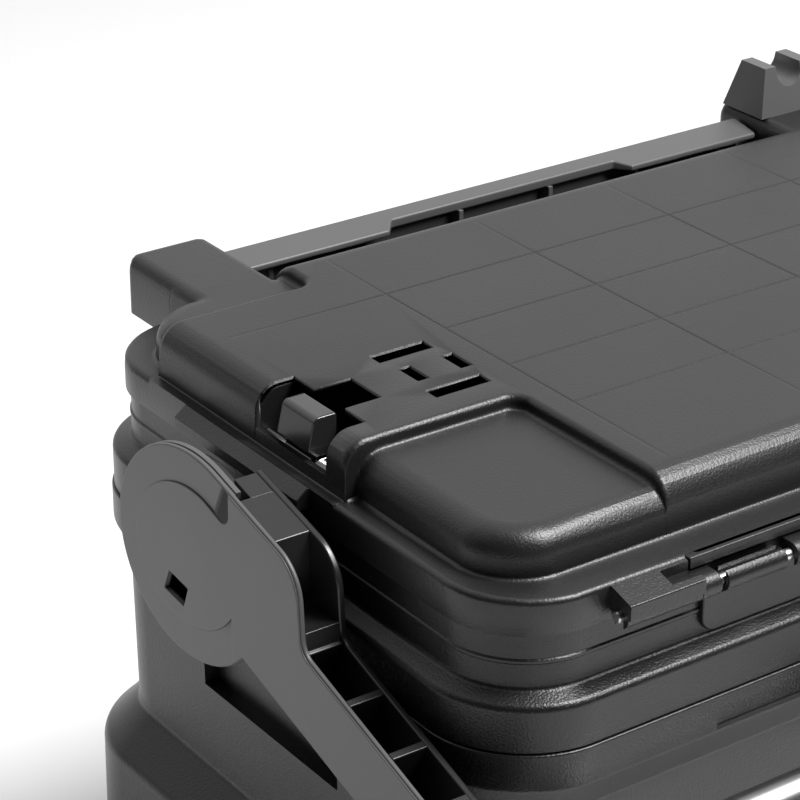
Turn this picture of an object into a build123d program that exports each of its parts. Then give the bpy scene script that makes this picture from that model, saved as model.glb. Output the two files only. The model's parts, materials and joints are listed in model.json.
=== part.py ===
import os
from math import cos, radians, sin, tan

from build123d import *

os.makedirs("parts", exist_ok=True)

# Seat box with a hinged lid, a bail handle, two lid latches and a front pull bar
# X runs along the long side, -Y is the hinge side, +Y the front, Z is up from the floor

# Box: length and width over the lid flange
box_length = 474.0
box_width = 300.0
corner_radius = 38.0
overrun = 2.0

# Heights, each counted from the top of the one before, from the floor to the seat
plinth_height = 136.0
plinth_slope_height = 17.0
wall_height = 80.0
chamfer_height = 15.0
lower_band_height = 16.0
upper_band_height = 20.0
neck_slope_height = 3.5
neck_height = 23.5
lid_height = 39.0

# Lid: flange, dome and raised seat panel
lid_flange_height = 15.0
lid_wall = 3.0
dome_inset_end = 11.0
dome_inset_side = 17.0
dome_edge_radius = 9.0
lid_draft = 3.0
panel_step = 6.0
panel_edge_radius = 3.0
panel_side_radius = 14.0
panel_end_radius = 14.0
panel_past_edge = 6.0
panel_corner_radius = 7.0
hinge_pad_length = 89.6
window_margin = 13.1
front_pad_length = 83.6
front_pad_width = 48.4
lid_rib_pitch = 75.2
lid_rib_depth = 7.0
lid_rib_thickness = 1.6

# Latch window, finger hole and accessory slots in each end of the lid
window_width = 52.0
window_depth = 24.7
window_height = 12.8
window_bar_height = 2.6
finger_hole_width = 22.2
finger_hole_end = 42.7
window_recess_depth = 1.2
slot_long_length = 27.6
slot_long_width = 8.4
slot_long_start = 60.1
slot_long_offset = 20.0
slot_short_length = 14.8
slot_short_width = 6.3
slot_short_places = (62.9, 84.6)

# Guard over the handle hub, on the lid flange, counted from the hub
guard_back = 51.5
guard_front = 41.6
guard_reach = 6.5
guard_height = 5.0
guard_drop = 1.8

# Wings at the front corners of the lid, either side of the pull bar
wing_start = 40.0
wing_end = 82.0
wing_reach = 40.0
wing_depth = 28.0
wing_corner_radius = 7.0

# Rim frame: the neck under the lid and the upper half of the shoulder band
rim_wall = 3.5
neck_inset = 2.0
band_reach = 7.0
rim_lip_depth = 8.0
rim_lip_gap = 0.3
rim_lip_wall = 2.5
tray_ledge_rise = 4.0
tray_ledge_thickness = 3.0
tray_ledge_inset = 12.0
catch_width = 18.0
catch_height = 9.0
catch_drop = 3.0

# Bucket: the walls, the lower half of the band and the flared plinth
bucket_wall = 3.5
bucket_floor = 4.0
bucket_band_reach = 8.0
wall_reach = 1.0
plinth_reach = 17.0
plinth_foot_reach = 18.5
plinth_wall = 3.5
foot_inset = 7.0
plinth_rib_pitch = 95.0
plinth_rib_thickness = 3.0
hub_pocket_back = 69.0
hub_pocket_front = 33.0
hub_pocket_height = 36.0
hub_pocket_drop = 2.0
hub_pocket_depth = 7.0
band_recess_in = 99.0
band_recess_height = 9.0
band_recess_depth = 2.0
band_recess_drop = 6.0
side_panel_in = 87.0
side_panel_rise = 12.0
side_panel_drop = 9.0
side_panel_depth = 2.0
side_panel_radius = 8.0

# Hinge: one steel pin in half knuckles that open up on the base and down on the lid
pin_radius = 2.5
pin_clearance = 0.08
pin_proud = 2.1
hinge_out = 6.0
hinge_up = 4.0
knuckle_radius = 5.0
knuckle_mouth = 4.4
knuckle_web_drop = 9.0
knuckle_lid_gap = 0.4
base_knuckle_length = 30.0
base_knuckle_count = 4
knuckle_gap = 5.0
end_knuckle_length = 9.5
end_knuckle_gap = 2.95
end_block_gap = 0.5
hinge_panel_past_pin = 0.3
hinge_panel_rise = 1.5
hinge_panel_proud = 2.5
hinge_panel_radius = 7.0
flange_pad_proud = 2.0
flange_pad_height = 5.0

# Hinge end blocks, clipped over the pin ends and against the lid flange
block_in = 85.3
block_length = 36.2
block_reach = 12.4
block_top_drop = 0.6
block_slope_drop = 3.6
block_lip_height = 6.0
block_notch_length = 14.0
block_notch_depth = 4.5
block_notch_lip = 3.0
block_notch_inset = 1.5

# Bail handle: hub, arm and crossbar
hub_y = 29.0
hub_rise = 19.5
hub_outer = 33.0
handle_depth = 21.5
plate_thickness = 3.0
plate_edge_radius = 1.2
drum_radius = 38.0
drum_wall = 3.0
bar_out = 34.5
handle_fall = 15.0
arm_slope = 17.3
arm_width = 34.0
arm_end_radius = 17.0
shoulder_start = 30.0
shoulder_back = 91.5
shoulder_rise = 33.4
shoulder_slope = 14.3
shoulder_radius = 20.0
armpit_back = 93.8
armpit_drop = 1.0
armpit_radius = 8.0
arm_rib_thickness = 3.5
arm_pocket_length = 26.0
arm_pocket_count = 3
arm_web = 4.0
pocket_back = 73.0

# Oval hub plate of the handle, with its rim, the start of the web, the sunk band and the key hole
oval_long = 56.0
oval_short = 47.0
oval_turn = 17.0
oval_back = 9.6
oval_rise = 4.0
hub_rim_wall = 3.0
hub_rim_depth = 6.0
hub_rim_back = 46.7
web_back = 35.0
web_slot = 2.0
hub_step_depth = 0.8
hub_step_width = 15.5
hub_step_back = 43.0
hub_step_corner = 5.0
key_length = 14.6
key_width = 10.4
key_back = 0.7
key_drop = 15.0
key_turn = 8.0
key_lean = 21.0

# Handle pivot: a post on the arm in a boss on the rim frame, held by a washer and screw inside
post_radius = 11.0
pivot_clearance = 0.08
boss_radius = 19.0
boss_inner_reach = 4.5
boss_gap = 3.0
washer_radius = 15.0
washer_thickness = 1.5
washer_recess = 1.0
washer_seat = 0.3
pivot_screw_radius = 2.0
pivot_screw_length = 14.0
pivot_head_radius = 5.0
pivot_head_height = 2.4
arm_rest_in = 34.0
arm_rest_length = 18.0
arm_rest_height = 16.0
arm_rest_gap = 0.3
arm_rest_reach = 27.0

# Crossbar: steel tube with a ribbed sleeve
tube_radius = 9.0
tube_wall = 1.5
tube_fit = 0.03
tube_end_gap = 0.5
grip_length = 150.0
grip_radius = 14.5
grip_groove_count = 5
grip_groove_pitch = 24.0
grip_groove_width = 6.0
grip_groove_depth = 1.2
grip_edge = 3.0
tube_screw_radius = 2.0
tube_screw_head = 3.6
tube_screw_length = 14.0

# Lid latch: paddle, pin and spring
paddle_width = 23.0
paddle_face = 6.4
paddle_depth = 14.0
paddle_drop = 0.9
paddle_height = 15.0
paddle_wall = 2.6
paddle_edge_radius = 3.5
latch_pin_radius = 1.5
latch_pin_in = 12.0
latch_pin_down = 22.0
latch_pin_length = 57.0
latch_barrel_radius = 4.0
latch_nose_height = 6.0
latch_nose_gap = 0.3
latch_leg_wall = 2.6
pocket_wall = 2.5
pocket_wall_height = 28.0
spring_length = 9.0
spring_radius = 3.6
spring_wire = 0.9
spring_gap = 0.6
spring_leg = 13.0

# Front pull bar: a lever between the wings, pivoted on the rim frame
bar_gap = 1.0
bar_outer = 25.0
bar_wall = 3.5
bar_top_drop = 10.5
bar_top_depth = 17.5
bar_top_height = 6.0
bar_edge_radius = 2.5
bar_pivot_out = 16.0
bar_pivot_rise = 17.0
bar_barrel_radius = 6.0
bar_pin_radius = 2.5
bar_pin_length = 14.0
bar_ear_thickness = 6.0
bar_ear_gap = 0.5
bar_scoop_length = 146.0
bar_scoop_depth = 7.5
bar_scoop_angle = 50.0
bar_rib_count = 6
bar_rib_pitch = 54.0
bar_rib_thickness = 2.5
bar_rib_width = 8.0
bar_nose_length = 24.0
bar_nose_place = 96.0
bar_nose_height = 5.0
bar_nose_gap = 0.6

# Rod rest on the right wing
rest_length = 42.0
rest_width = 30.0
rest_height = 24.0
rest_taper = 14.0
rest_notch_width = 16.0
rest_notch_depth = 11.0
rest_screw_radius = 2.0
rest_head_radius = 3.8
rest_head_height = 2.4
rest_screw_length = 12.0
rest_screw_place = 10.0

# Lift-out tray
tray_gap = 1.0
tray_flange_thickness = 2.5
tray_depth = 62.0
tray_wall = 2.2
tray_body_gap = 1.5
divider_thickness = 2.0
divider_place = 75.0
divider_height = 48.0
divider_gap = 0.3
divider_rail_width = 3.0
divider_rail_depth = 3.0

# Non-slip feet let into the floor, flush with it
foot_length = 64.0
foot_width = 22.0
foot_thickness = 3.0
foot_in_end = 67.0
foot_in_side = 50.0
foot_corner = 6.0

half_length = box_length / 2
half_width = box_width / 2
plinth_top = plinth_height + plinth_slope_height
chamfer_bottom = plinth_top + wall_height
band_bottom = chamfer_bottom + chamfer_height
parting_height = band_bottom + lower_band_height
band_top = parting_height + upper_band_height
neck_bottom = band_top + neck_slope_height
rim_z = neck_bottom + neck_height
box_height = rim_z + lid_height
ledge_z = rim_z + lid_flange_height
catch_top = rim_z - catch_drop
hub_z = parting_height + hub_rise
handle_reach = (hub_y + half_width + bar_out) / cos(radians(handle_fall))
pad_z = box_height - panel_step
hinge_y = -half_width - hinge_out
hinge_z = rim_z + hinge_up
dome_half_width = half_width - dome_inset_side
hinge_pad_width = half_width - window_width / 2 - window_margin
block_start = half_length - block_in
end_knuckle_start = block_start - end_block_gap - end_knuckle_length
last_knuckle = end_knuckle_start - end_knuckle_gap - base_knuckle_length / 2
base_knuckle_pitch = 2 * last_knuckle / (base_knuckle_count - 1)


def outline(height, reach):
    """Box outline at one height, past the lid flange by reach"""
    with BuildSketch(Plane.XY.offset(height)) as section:
        RectangleRounded(box_length + 2 * reach, box_width + 2 * reach, corner_radius + reach)
    return section.sketch


def stack(profile):
    """Solid through the box outline at each height and reach of a profile"""
    with BuildPart() as solid:
        loft([outline(height, reach) for height, reach in profile], ruled=True)
    return solid.part


def seat_panel(inset):
    """Plan of the raised seat panel: the lid without the pads at its four corners"""
    with BuildSketch(Plane.XY.offset(rim_z)) as plan:
        Rectangle(box_length + 2 * panel_past_edge, 2 * (dome_half_width + panel_past_edge))
        for side in (-1, 1):
            with Locations((side * half_length, -half_width)):
                Rectangle(2 * hinge_pad_length, 2 * hinge_pad_width, mode=Mode.SUBTRACT)
            with Locations((side * half_length, half_width)):
                Rectangle(2 * front_pad_length, 2 * front_pad_width, mode=Mode.SUBTRACT)
        inner = plan.vertices().sort_by_distance((0, 0))[:4]
        fillet(inner, panel_corner_radius)
        if inset:
            offset(amount=-inset, mode=Mode.REPLACE)
    return plan.sketch


def lid_form(inset):
    """Lid as one filled body, drawn in by inset on every side but the bottom"""
    top = box_height - inset
    with BuildPart() as envelope:
        with BuildSketch(Plane.XY.offset(rim_z)):
            Rectangle(box_length - 2 * inset, 2 * (dome_half_width - inset))
        extrude(amount=top - rim_z)
        upper = envelope.faces().sort_by(Axis.Z)[-1]
        fillet(upper.edges().filter_by(Axis.X), panel_side_radius - inset)
        upper = envelope.faces().sort_by(Axis.Z)[-1]
        fillet(upper.edges().filter_by(Axis.Y), panel_end_radius - inset)
    with BuildPart() as panel:
        add(seat_panel(inset))
        extrude(to_extrude=panel.pending_faces[0], amount=top - rim_z, taper=lid_draft)
        if not inset:
            steps = panel.faces().sort_by(Axis.Z)[-1].edges().filter_by(
                lambda edge: abs(edge.center().X) < half_length and abs(edge.center().Y) < dome_half_width
            )
            fillet(steps, panel_edge_radius)
        add(envelope.part, mode=Mode.INTERSECT)
    with BuildPart() as form:
        with BuildSketch(Plane.XY.offset(rim_z)):
            RectangleRounded(
                box_length - 2 * dome_inset_end - 2 * inset,
                2 * (dome_half_width - inset),
                corner_radius - dome_inset_end - inset,
            )
        extrude(amount=pad_z - inset - rim_z)
        fillet(form.faces().sort_by(Axis.Z)[-1].edges(), dome_edge_radius - inset)
        add(panel.part)
        with BuildSketch(Plane.XY.offset(rim_z)):
            RectangleRounded(box_length - 2 * inset, box_width - 2 * inset, corner_radius - inset)
        extrude(amount=lid_flange_height - inset)
    return form.part


def half_knuckle(length, centre, on_base):
    """Half knuckle round the hinge pin: open to the top on the base, to the bottom on the lid"""
    neck_y = -half_width + neck_inset + rim_wall / 2
    with BuildPart() as knuckle:
        with BuildSketch(Plane.YZ.offset(centre - length / 2)):
            with BuildLine():
                if on_base:
                    Polyline(
                        (hinge_y - knuckle_radius, hinge_z),
                        (neck_y, rim_z - knuckle_web_drop),
                        (neck_y, rim_z - knuckle_lid_gap),
                        (hinge_y + knuckle_radius, rim_z - knuckle_lid_gap),
                        (hinge_y + knuckle_radius, hinge_z),
                        close=True,
                    )
                else:
                    Polyline(
                        (hinge_y - knuckle_radius, hinge_z),
                        (hinge_y, hinge_z + knuckle_radius),
                        (-half_width + lid_wall / 2, hinge_z + knuckle_radius),
                        (-half_width + lid_wall / 2, hinge_z),
                        close=True,
                    )
            make_face()
            with Locations((hinge_y, hinge_z)):
                Circle(knuckle_radius)
                Circle(pin_radius + pin_clearance, mode=Mode.SUBTRACT)
                mouth = knuckle_radius / 2 if on_base else -knuckle_radius / 2
                with Locations((0, mouth)):
                    Rectangle(knuckle_mouth, knuckle_radius + overrun, mode=Mode.SUBTRACT)
        extrude(amount=length)
    return knuckle.part


# Lid: shell, ribs, latch windows, slots, hub guards and wings
with BuildPart() as lid_shell:
    add(lid_form(0))
    for side in (-1, 1):
        wing_centre = side * (half_length - (wing_start + wing_end) / 2)
        with BuildSketch(Plane.XY.offset(pad_z - wing_depth)):
            with Locations((wing_centre, half_width - dome_inset_side)):
                Rectangle(wing_end - wing_start, wing_reach + dome_inset_side, align=(Align.CENTER, Align.MIN))
        extrude(amount=wing_depth)
    wing_edges = lid_shell.edges().filter_by(Axis.X).group_by(Axis.Y)[-1]
    fillet(wing_edges.group_by(Axis.Z)[-1], wing_corner_radius)
    add(lid_form(lid_wall), mode=Mode.SUBTRACT)
    for side in (-1, 1):
        wing_centre = side * (half_length - (wing_start + wing_end) / 2)
        with BuildSketch(Plane.XY.offset(pad_z - wing_depth)):
            with Locations((wing_centre, half_width)):
                Rectangle(
                    wing_end - wing_start - 2 * lid_wall,
                    wing_reach - lid_wall,
                    align=(Align.CENTER, Align.MIN),
                )
        extrude(amount=wing_depth - wing_corner_radius, mode=Mode.SUBTRACT)
    # Screw holes of the rod rest
    with BuildSketch(Plane.XY.offset(pad_z - wing_corner_radius - overrun)):
        with Locations((half_length - (wing_start + wing_end) / 2, half_width + wing_reach / 2)):
            with GridLocations(2 * rest_screw_place, 0, 2, 1):
                Circle(rest_screw_radius)
    extrude(amount=wing_corner_radius + 2 * overrun, mode=Mode.SUBTRACT)
    # Ribs under the seat panel
    with BuildSketch(Plane.XY.offset(box_height - lid_wall - lid_rib_depth)):
        with GridLocations(lid_rib_pitch, 0, 4, 1):
            Rectangle(lid_rib_thickness, 2 * (dome_half_width - panel_side_radius))
        with GridLocations(0, lid_rib_pitch, 1, 3):
            Rectangle(3 * lid_rib_pitch, lid_rib_thickness)
    extrude(amount=lid_rib_depth)
    for side in (-1, 1):
        # Side walls of the latch pocket
        pocket_x = side * (half_length - lid_wall / 2)
        for lane in (-1, 1):
            with BuildSketch(Plane.XY.offset(box_height - pocket_wall_height)):
                with Locations((pocket_x, lane * (window_width + pocket_wall) / 2)):
                    Rectangle(
                        window_depth,
                        pocket_wall,
                        align=(Align.MIN if side < 0 else Align.MAX, Align.CENTER),
                    )
            extrude(amount=pocket_wall_height - lid_wall / 2)
        # Latch window in the top and in the end face, with the finger hole behind it
        with BuildSketch(Plane.XY.offset(box_height - window_height)):
            with Locations((side * half_length, 0)):
                Rectangle(2 * window_depth, window_width)
                Rectangle(2 * finger_hole_end, finger_hole_width)
        extrude(amount=window_height + overrun, mode=Mode.SUBTRACT)
        # Shallow band under the window bar
        with BuildSketch(Plane.XY.offset(ledge_z)):
            with Locations((side * half_length, 0)):
                Rectangle(2 * window_recess_depth, window_width)
        extrude(amount=box_height - window_height - window_bar_height - ledge_z, mode=Mode.SUBTRACT)
        # Accessory slots
        with BuildSketch(Plane.XY.offset(box_height - lid_wall - overrun)):
            with Locations((side * (half_length - slot_long_start - slot_long_length / 2), 0)):
                with GridLocations(0, 2 * slot_long_offset, 1, 2):
                    Rectangle(slot_long_length, slot_long_width)
            for place in slot_short_places:
                with Locations((side * (half_length - place), 0)):
                    Rectangle(slot_short_width, slot_short_length)
        extrude(amount=lid_wall + 2 * overrun, mode=Mode.SUBTRACT)
        # Hub guard
        with BuildSketch(Plane.XZ.offset(guard_back - hub_y)):
            with BuildLine():
                Polyline(
                    (side * (half_length - lid_wall / 2), ledge_z - guard_drop),
                    (side * (half_length + guard_reach), ledge_z - 2 * guard_drop),
                    (side * (half_length + guard_reach), ledge_z - 2 * guard_drop - guard_height),
                    (side * (half_length - lid_wall / 2), ledge_z - 2 * guard_drop - guard_height),
                    close=True,
                )
            make_face()
        extrude(amount=-guard_back - guard_front)
        # Pin holes of the latch
        with BuildSketch(Plane.XZ.offset(-latch_pin_length / 2)):
            with Locations((side * (half_length - latch_pin_in), box_height - latch_pin_down)):
                Circle(latch_pin_radius + pin_clearance)
        extrude(amount=latch_pin_length, mode=Mode.SUBTRACT)
    # Thicker flange edge over the hinge, and the lid's half knuckles
    with BuildSketch(Plane.XY.offset(ledge_z - flange_pad_height)):
        with Locations((0, -half_width)):
            Rectangle(2 * (block_start - end_block_gap), 2 * flange_pad_proud)
    extrude(amount=flange_pad_height)
    for spot in range(base_knuckle_count - 1):
        centre = (spot - (base_knuckle_count - 2) / 2) * base_knuckle_pitch
        add(half_knuckle(base_knuckle_pitch - base_knuckle_length - 2 * knuckle_gap, centre, False))
    for side in (-1, 1):
        add(half_knuckle(end_knuckle_length, side * (end_knuckle_start + end_knuckle_length / 2), False))
lid_shell.part.label = "lid_shell"
export_step(lid_shell.part, "parts/lid_shell.step")

# Rim frame: neck, upper band, tray ledge, hub bosses, catch windows and base knuckles
hub_plane_outer = half_length + hub_outer
boss_end = hub_plane_outer - plate_thickness - boss_gap
seat_x = half_length - boss_inner_reach
with BuildPart() as rim_frame:
    add(stack((
        (parting_height, band_reach),
        (band_top, band_reach),
        (neck_bottom, -neck_inset + wall_reach / 2),
        (rim_z, -neck_inset),
    )))
    add(stack((
        (parting_height - rim_lip_depth, bucket_band_reach - bucket_wall - rim_lip_gap),
        (parting_height, bucket_band_reach - bucket_wall - rim_lip_gap),
    )))
    add(stack((
        (parting_height - rim_lip_depth, bucket_band_reach - bucket_wall - rim_lip_gap - rim_lip_wall),
        (parting_height, bucket_band_reach - bucket_wall - rim_lip_gap - rim_lip_wall),
        (parting_height + rim_wall, band_reach - rim_wall),
        (band_top - rim_wall, band_reach - rim_wall),
        (neck_bottom - rim_wall, -neck_inset - rim_wall + wall_reach / 2),
        (rim_z, -neck_inset - rim_wall),
    )), mode=Mode.SUBTRACT)
    # Tray ledge
    tray_ledge_height = parting_height + tray_ledge_rise
    with BuildSketch(Plane.XY.offset(tray_ledge_height)):
        add(outline(0, band_reach - rim_wall / 2))
        add(outline(0, -tray_ledge_inset), mode=Mode.SUBTRACT)
    extrude(amount=tray_ledge_thickness)
    for side in (-1, 1):
        with BuildSketch(Plane.YZ.offset(side * seat_x)):
            with Locations((hub_y, hub_z)):
                Circle(boss_radius)
        extrude(amount=side * (boss_end - seat_x))
        with BuildSketch(Plane.YZ.offset(side * (seat_x - overrun))):
            with Locations((hub_y, hub_z)):
                Circle(washer_radius + washer_recess)
        extrude(amount=side * (washer_thickness + pivot_head_height + washer_seat + overrun), mode=Mode.SUBTRACT)
        with BuildSketch(Plane.YZ.offset(side * (seat_x - overrun))):
            with Locations((hub_y, hub_z)):
                Circle(post_radius + pivot_clearance)
        extrude(amount=side * (boss_end - seat_x + 2 * overrun), mode=Mode.SUBTRACT)
    # Catch windows
    with BuildSketch(Plane.XY.offset(catch_top - catch_height)):
        with GridLocations(2 * half_length, 0, 2, 1):
            Rectangle(2 * (neck_inset + rim_wall + overrun), catch_width)
    extrude(amount=catch_height, mode=Mode.SUBTRACT)
    # Hinge panel and half knuckles
    hinge_panel_bottom = neck_bottom + hinge_panel_rise
    with BuildSketch(Plane.XZ.offset(half_width - neck_inset - rim_wall / 2)) as hinge_plan:
        with Locations((0, (rim_z + hinge_panel_bottom) / 2)):
            Rectangle(2 * (end_knuckle_start + hinge_panel_past_pin), rim_z - hinge_panel_bottom)
        fillet(hinge_plan.vertices().group_by(Axis.Y)[0], hinge_panel_radius)
    extrude(amount=hinge_panel_proud + rim_wall / 2)
    for spot in range(base_knuckle_count):
        centre = (spot - (base_knuckle_count - 1) / 2) * base_knuckle_pitch
        add(half_knuckle(base_knuckle_length, centre, True))
    # Ears of the pull bar
    bar_pivot_height = parting_height + bar_pivot_rise
    for side in (-1, 1):
        ear_x = half_length - wing_end - bar_gap
        with BuildSketch(Plane.YZ.offset(side * (ear_x + bar_ear_gap))):
            with Locations((half_width + bar_pivot_out, bar_pivot_height)):
                Circle(bar_barrel_radius)
                with Locations((-bar_pivot_out / 2, 0)):
                    Rectangle(bar_pivot_out, 2 * bar_barrel_radius)
                Circle(bar_pin_radius + pin_clearance, mode=Mode.SUBTRACT)
        extrude(amount=side * bar_ear_thickness)
rim_frame.part.label = "rim_frame"
export_step(rim_frame.part, "parts/rim_frame.step")

# Bucket: walls, lower band, plinth with its ribs, hub pockets, recesses and arm rests
with BuildPart() as bucket:
    add(stack((
        (0, plinth_foot_reach),
        (plinth_height, plinth_reach),
        (plinth_top, 0),
    )))
    add(stack((
        (0, plinth_foot_reach - plinth_wall),
        (plinth_height - plinth_wall / 2, plinth_reach - plinth_wall),
        (plinth_top - 1.5 * plinth_wall, 0),
    )), mode=Mode.SUBTRACT)
    with BuildSketch(Plane.XY) as rib_plan:
        with GridLocations(plinth_rib_pitch, 0, 5, 1):
            Rectangle(plinth_rib_thickness, box_width + 2 * plinth_foot_reach - plinth_wall)
        with GridLocations(0, plinth_rib_pitch, 1, 3):
            Rectangle(box_length + 2 * plinth_foot_reach - plinth_wall, plinth_rib_thickness)
    extrude(amount=plinth_height - plinth_wall)
    add(stack((
        (0, -foot_inset),
        (plinth_top, 0),
        (chamfer_bottom, wall_reach),
        (band_bottom, bucket_band_reach),
        (parting_height, bucket_band_reach),
    )))
    add(stack((
        (bucket_floor, -foot_inset - bucket_wall),
        (plinth_top, -bucket_wall),
        (chamfer_bottom, wall_reach - bucket_wall),
        (band_bottom, bucket_band_reach - bucket_wall),
        (parting_height, bucket_band_reach - bucket_wall),
    )), mode=Mode.SUBTRACT)
    for side in (-1, 1):
        pocket_mid_y = hub_y + (hub_pocket_front - hub_pocket_back) / 2
        pocket_mid_z = chamfer_bottom - hub_pocket_drop - hub_pocket_height / 2
        pocket_width = hub_pocket_front + hub_pocket_back
        with BuildSketch(Plane.YZ.offset(side * (half_length + wall_reach - bucket_wall / 2))):
            with Locations((pocket_mid_y, pocket_mid_z)):
                Rectangle(pocket_width + 2 * bucket_wall, hub_pocket_height + 2 * bucket_wall)
        extrude(amount=-side * (hub_pocket_depth + bucket_wall / 2))
        with BuildSketch(Plane.YZ.offset(side * (half_length + overrun))):
            with Locations((pocket_mid_y, pocket_mid_z)):
                Rectangle(pocket_width, hub_pocket_height)
        extrude(amount=-side * (hub_pocket_depth + overrun), mode=Mode.SUBTRACT)
        # Shallow panels in the long walls
        with BuildSketch(Plane.XZ.offset(side * (half_width - side_panel_depth + wall_reach))) as panel_plan:
            side_panel_bottom = plinth_top + side_panel_rise
            side_panel_top = chamfer_bottom - side_panel_drop
            with Locations((0, (side_panel_bottom + side_panel_top) / 2)):
                RectangleRounded(
                    box_length - 2 * side_panel_in,
                    side_panel_top - side_panel_bottom,
                    side_panel_radius,
                )
        extrude(amount=side * (side_panel_depth + overrun), mode=Mode.SUBTRACT)
        # Rest under the arm of the handle
        arm_rest_y = arm_rest_in - half_width
        arm_low = hub_z - handle_reach * sin(radians(handle_fall))
        arm_low += (arm_rest_y - hub_y + handle_reach * cos(radians(handle_fall))) * tan(radians(arm_slope))
        arm_low -= arm_width / 2 / cos(radians(arm_slope)) + arm_rest_gap
        rise = arm_rest_length / 2 * tan(radians(arm_slope))
        with BuildSketch(Plane.YZ.offset(side * (half_length - bucket_wall / 2))):
            with BuildLine():
                Polyline(
                    (arm_rest_y - arm_rest_length / 2, arm_low - rise),
                    (arm_rest_y + arm_rest_length / 2, arm_low + rise),
                    (arm_rest_y + arm_rest_length / 2, arm_low - arm_rest_height),
                    (arm_rest_y - arm_rest_length / 2, arm_low - arm_rest_height),
                    close=True,
                )
            make_face()
        extrude(amount=side * arm_rest_reach)
    # Long recess in the band on the hinge side
    with BuildSketch(Plane.XZ.offset(half_width + bucket_band_reach - band_recess_depth)):
        with Locations((0, parting_height - band_recess_drop - band_recess_height / 2)):
            Rectangle(box_length - 2 * band_recess_in, band_recess_height)
    extrude(amount=band_recess_depth + overrun, mode=Mode.SUBTRACT)
    # Seats of the feet
    with BuildSketch(Plane.XY):
        with GridLocations(box_length - 2 * foot_in_end, box_width - 2 * foot_in_side, 2, 2):
            RectangleRounded(foot_length, foot_width, foot_corner)
    extrude(amount=foot_thickness, mode=Mode.SUBTRACT)
bucket.part.label = "bucket"
export_step(bucket.part, "parts/bucket.step")

with BuildPart() as rubber_feet:
    with BuildSketch(Plane.XY):
        with GridLocations(box_length - 2 * foot_in_end, box_width - 2 * foot_in_side, 2, 2):
            RectangleRounded(foot_length, foot_width, foot_corner)
    extrude(amount=foot_thickness)
rubber_feet.part.label = "rubber_feet"
export_step(rubber_feet.part, "parts/rubber_feet.step")

# Hinge pin and its end blocks
pin_length = 2 * (block_start + block_length + pin_proud)
with BuildPart() as hinge_pin:
    with BuildSketch(Plane.YZ.offset(-pin_length / 2)):
        with Locations((hinge_y, hinge_z)):
            Circle(pin_radius)
    extrude(amount=pin_length)
    chamfer(hinge_pin.edges(), pin_radius / 5)
hinge_pin.part.label = "hinge_pin"
export_step(hinge_pin.part, "parts/hinge_pin.step")


def hinge_block(side):
    """End block of the hinge, on one side"""
    near = side * block_start
    outer_y = -half_width - block_reach
    top = ledge_z - block_top_drop
    with BuildPart() as block:
        with BuildSketch(Plane.YZ.offset(near)) as section:
            with BuildLine():
                Polyline(
                    (-half_width, top),
                    (outer_y, top - block_slope_drop),
                    (outer_y, top - block_slope_drop - block_lip_height),
                    (hinge_y - knuckle_radius, hinge_z),
                    (-half_width, hinge_z),
                    close=True,
                )
            make_face()
            with Locations((hinge_y, hinge_z)):
                Circle(knuckle_radius)
                Circle(pin_radius + pin_clearance, mode=Mode.SUBTRACT)
                with Locations((0, -knuckle_radius / 2)):
                    Rectangle(knuckle_mouth, knuckle_radius + overrun, mode=Mode.SUBTRACT)
        extrude(amount=side * block_length)
        with BuildSketch(Plane.XY.offset(top - block_notch_depth)):
            with Locations((near, -half_width - block_notch_inset)):
                Rectangle(
                    2 * block_notch_length,
                    block_reach - block_notch_lip - block_notch_inset,
                    align=(Align.CENTER, Align.MAX),
                )
        extrude(amount=block_notch_depth, mode=Mode.SUBTRACT)
        fillet(block.edges().filter_by(Axis.X).group_by(Axis.Y)[0], block_notch_inset / 2)
    return block


for side, hand in ((-1, "left"), (1, "right")):
    hinge_end = hinge_block(side)
    hinge_end.part.label = f"hinge_block_{hand}"
    export_step(hinge_end.part, f"parts/hinge_block_{hand}.step")

# Bail handle arms
bar_y = -half_width - bar_out
bar_z = hub_z - handle_reach * sin(radians(handle_fall))
along = Vector(-cos(radians(arm_slope)), -sin(radians(arm_slope)))
across = Vector(-sin(radians(arm_slope)), cos(radians(arm_slope)))
bar_spot = Vector(bar_y, bar_z)
shoulder_y = hub_y - shoulder_back
shoulder_z = hub_z + shoulder_rise
top_y = hub_y - shoulder_start
top_z = shoulder_z + (shoulder_back - shoulder_start) * tan(radians(shoulder_slope))
armpit_y = hub_y - armpit_back
armpit_z = hub_z - armpit_drop
arm_start = bar_spot - along * (handle_reach - oval_short / 2)


def hub_oval(inset):
    """Oval plate round the handle's pivot, drawn in by inset"""
    with BuildSketch() as oval:
        with Locations((hub_y - oval_back, hub_z + oval_rise)):
            Ellipse(oval_long - inset, oval_short - inset, rotation=-oval_turn)
    return oval.sketch


def arm_outline(on_plate):
    """Side view of the handle: shoulder and arm, with the oval hub on the outer plate or the drum behind it"""
    upper = bar_spot + across * (arm_width / 2)
    lower = bar_spot - across * (arm_width / 2)
    inner = arm_start - across * (arm_width / 2)
    with BuildSketch() as side_view:
        with BuildLine():
            Polyline(
                (top_y, top_z),
                (shoulder_y, shoulder_z),
                (armpit_y, armpit_z),
                (upper.X, upper.Y),
                (lower.X, lower.Y),
                (inner.X, inner.Y),
                (hub_y, hub_z),
                close=True,
            )
        make_face()
        corners = side_view.vertices()
        fillet(corners.sort_by_distance((shoulder_y, shoulder_z))[0], shoulder_radius)
        corners = side_view.vertices()
        fillet(corners.sort_by_distance((armpit_y, armpit_z))[0], armpit_radius)
        with Locations((bar_y, bar_z)):
            Circle(arm_end_radius)
        if on_plate:
            add(hub_oval(0))
        else:
            with Locations((hub_y - web_back, hub_z)):
                Rectangle(2 * oval_long, 2 * oval_long, align=(Align.MIN, Align.CENTER), mode=Mode.SUBTRACT)
            with Locations((hub_y, hub_z)):
                Circle(drum_radius)
    return side_view.sketch


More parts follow.
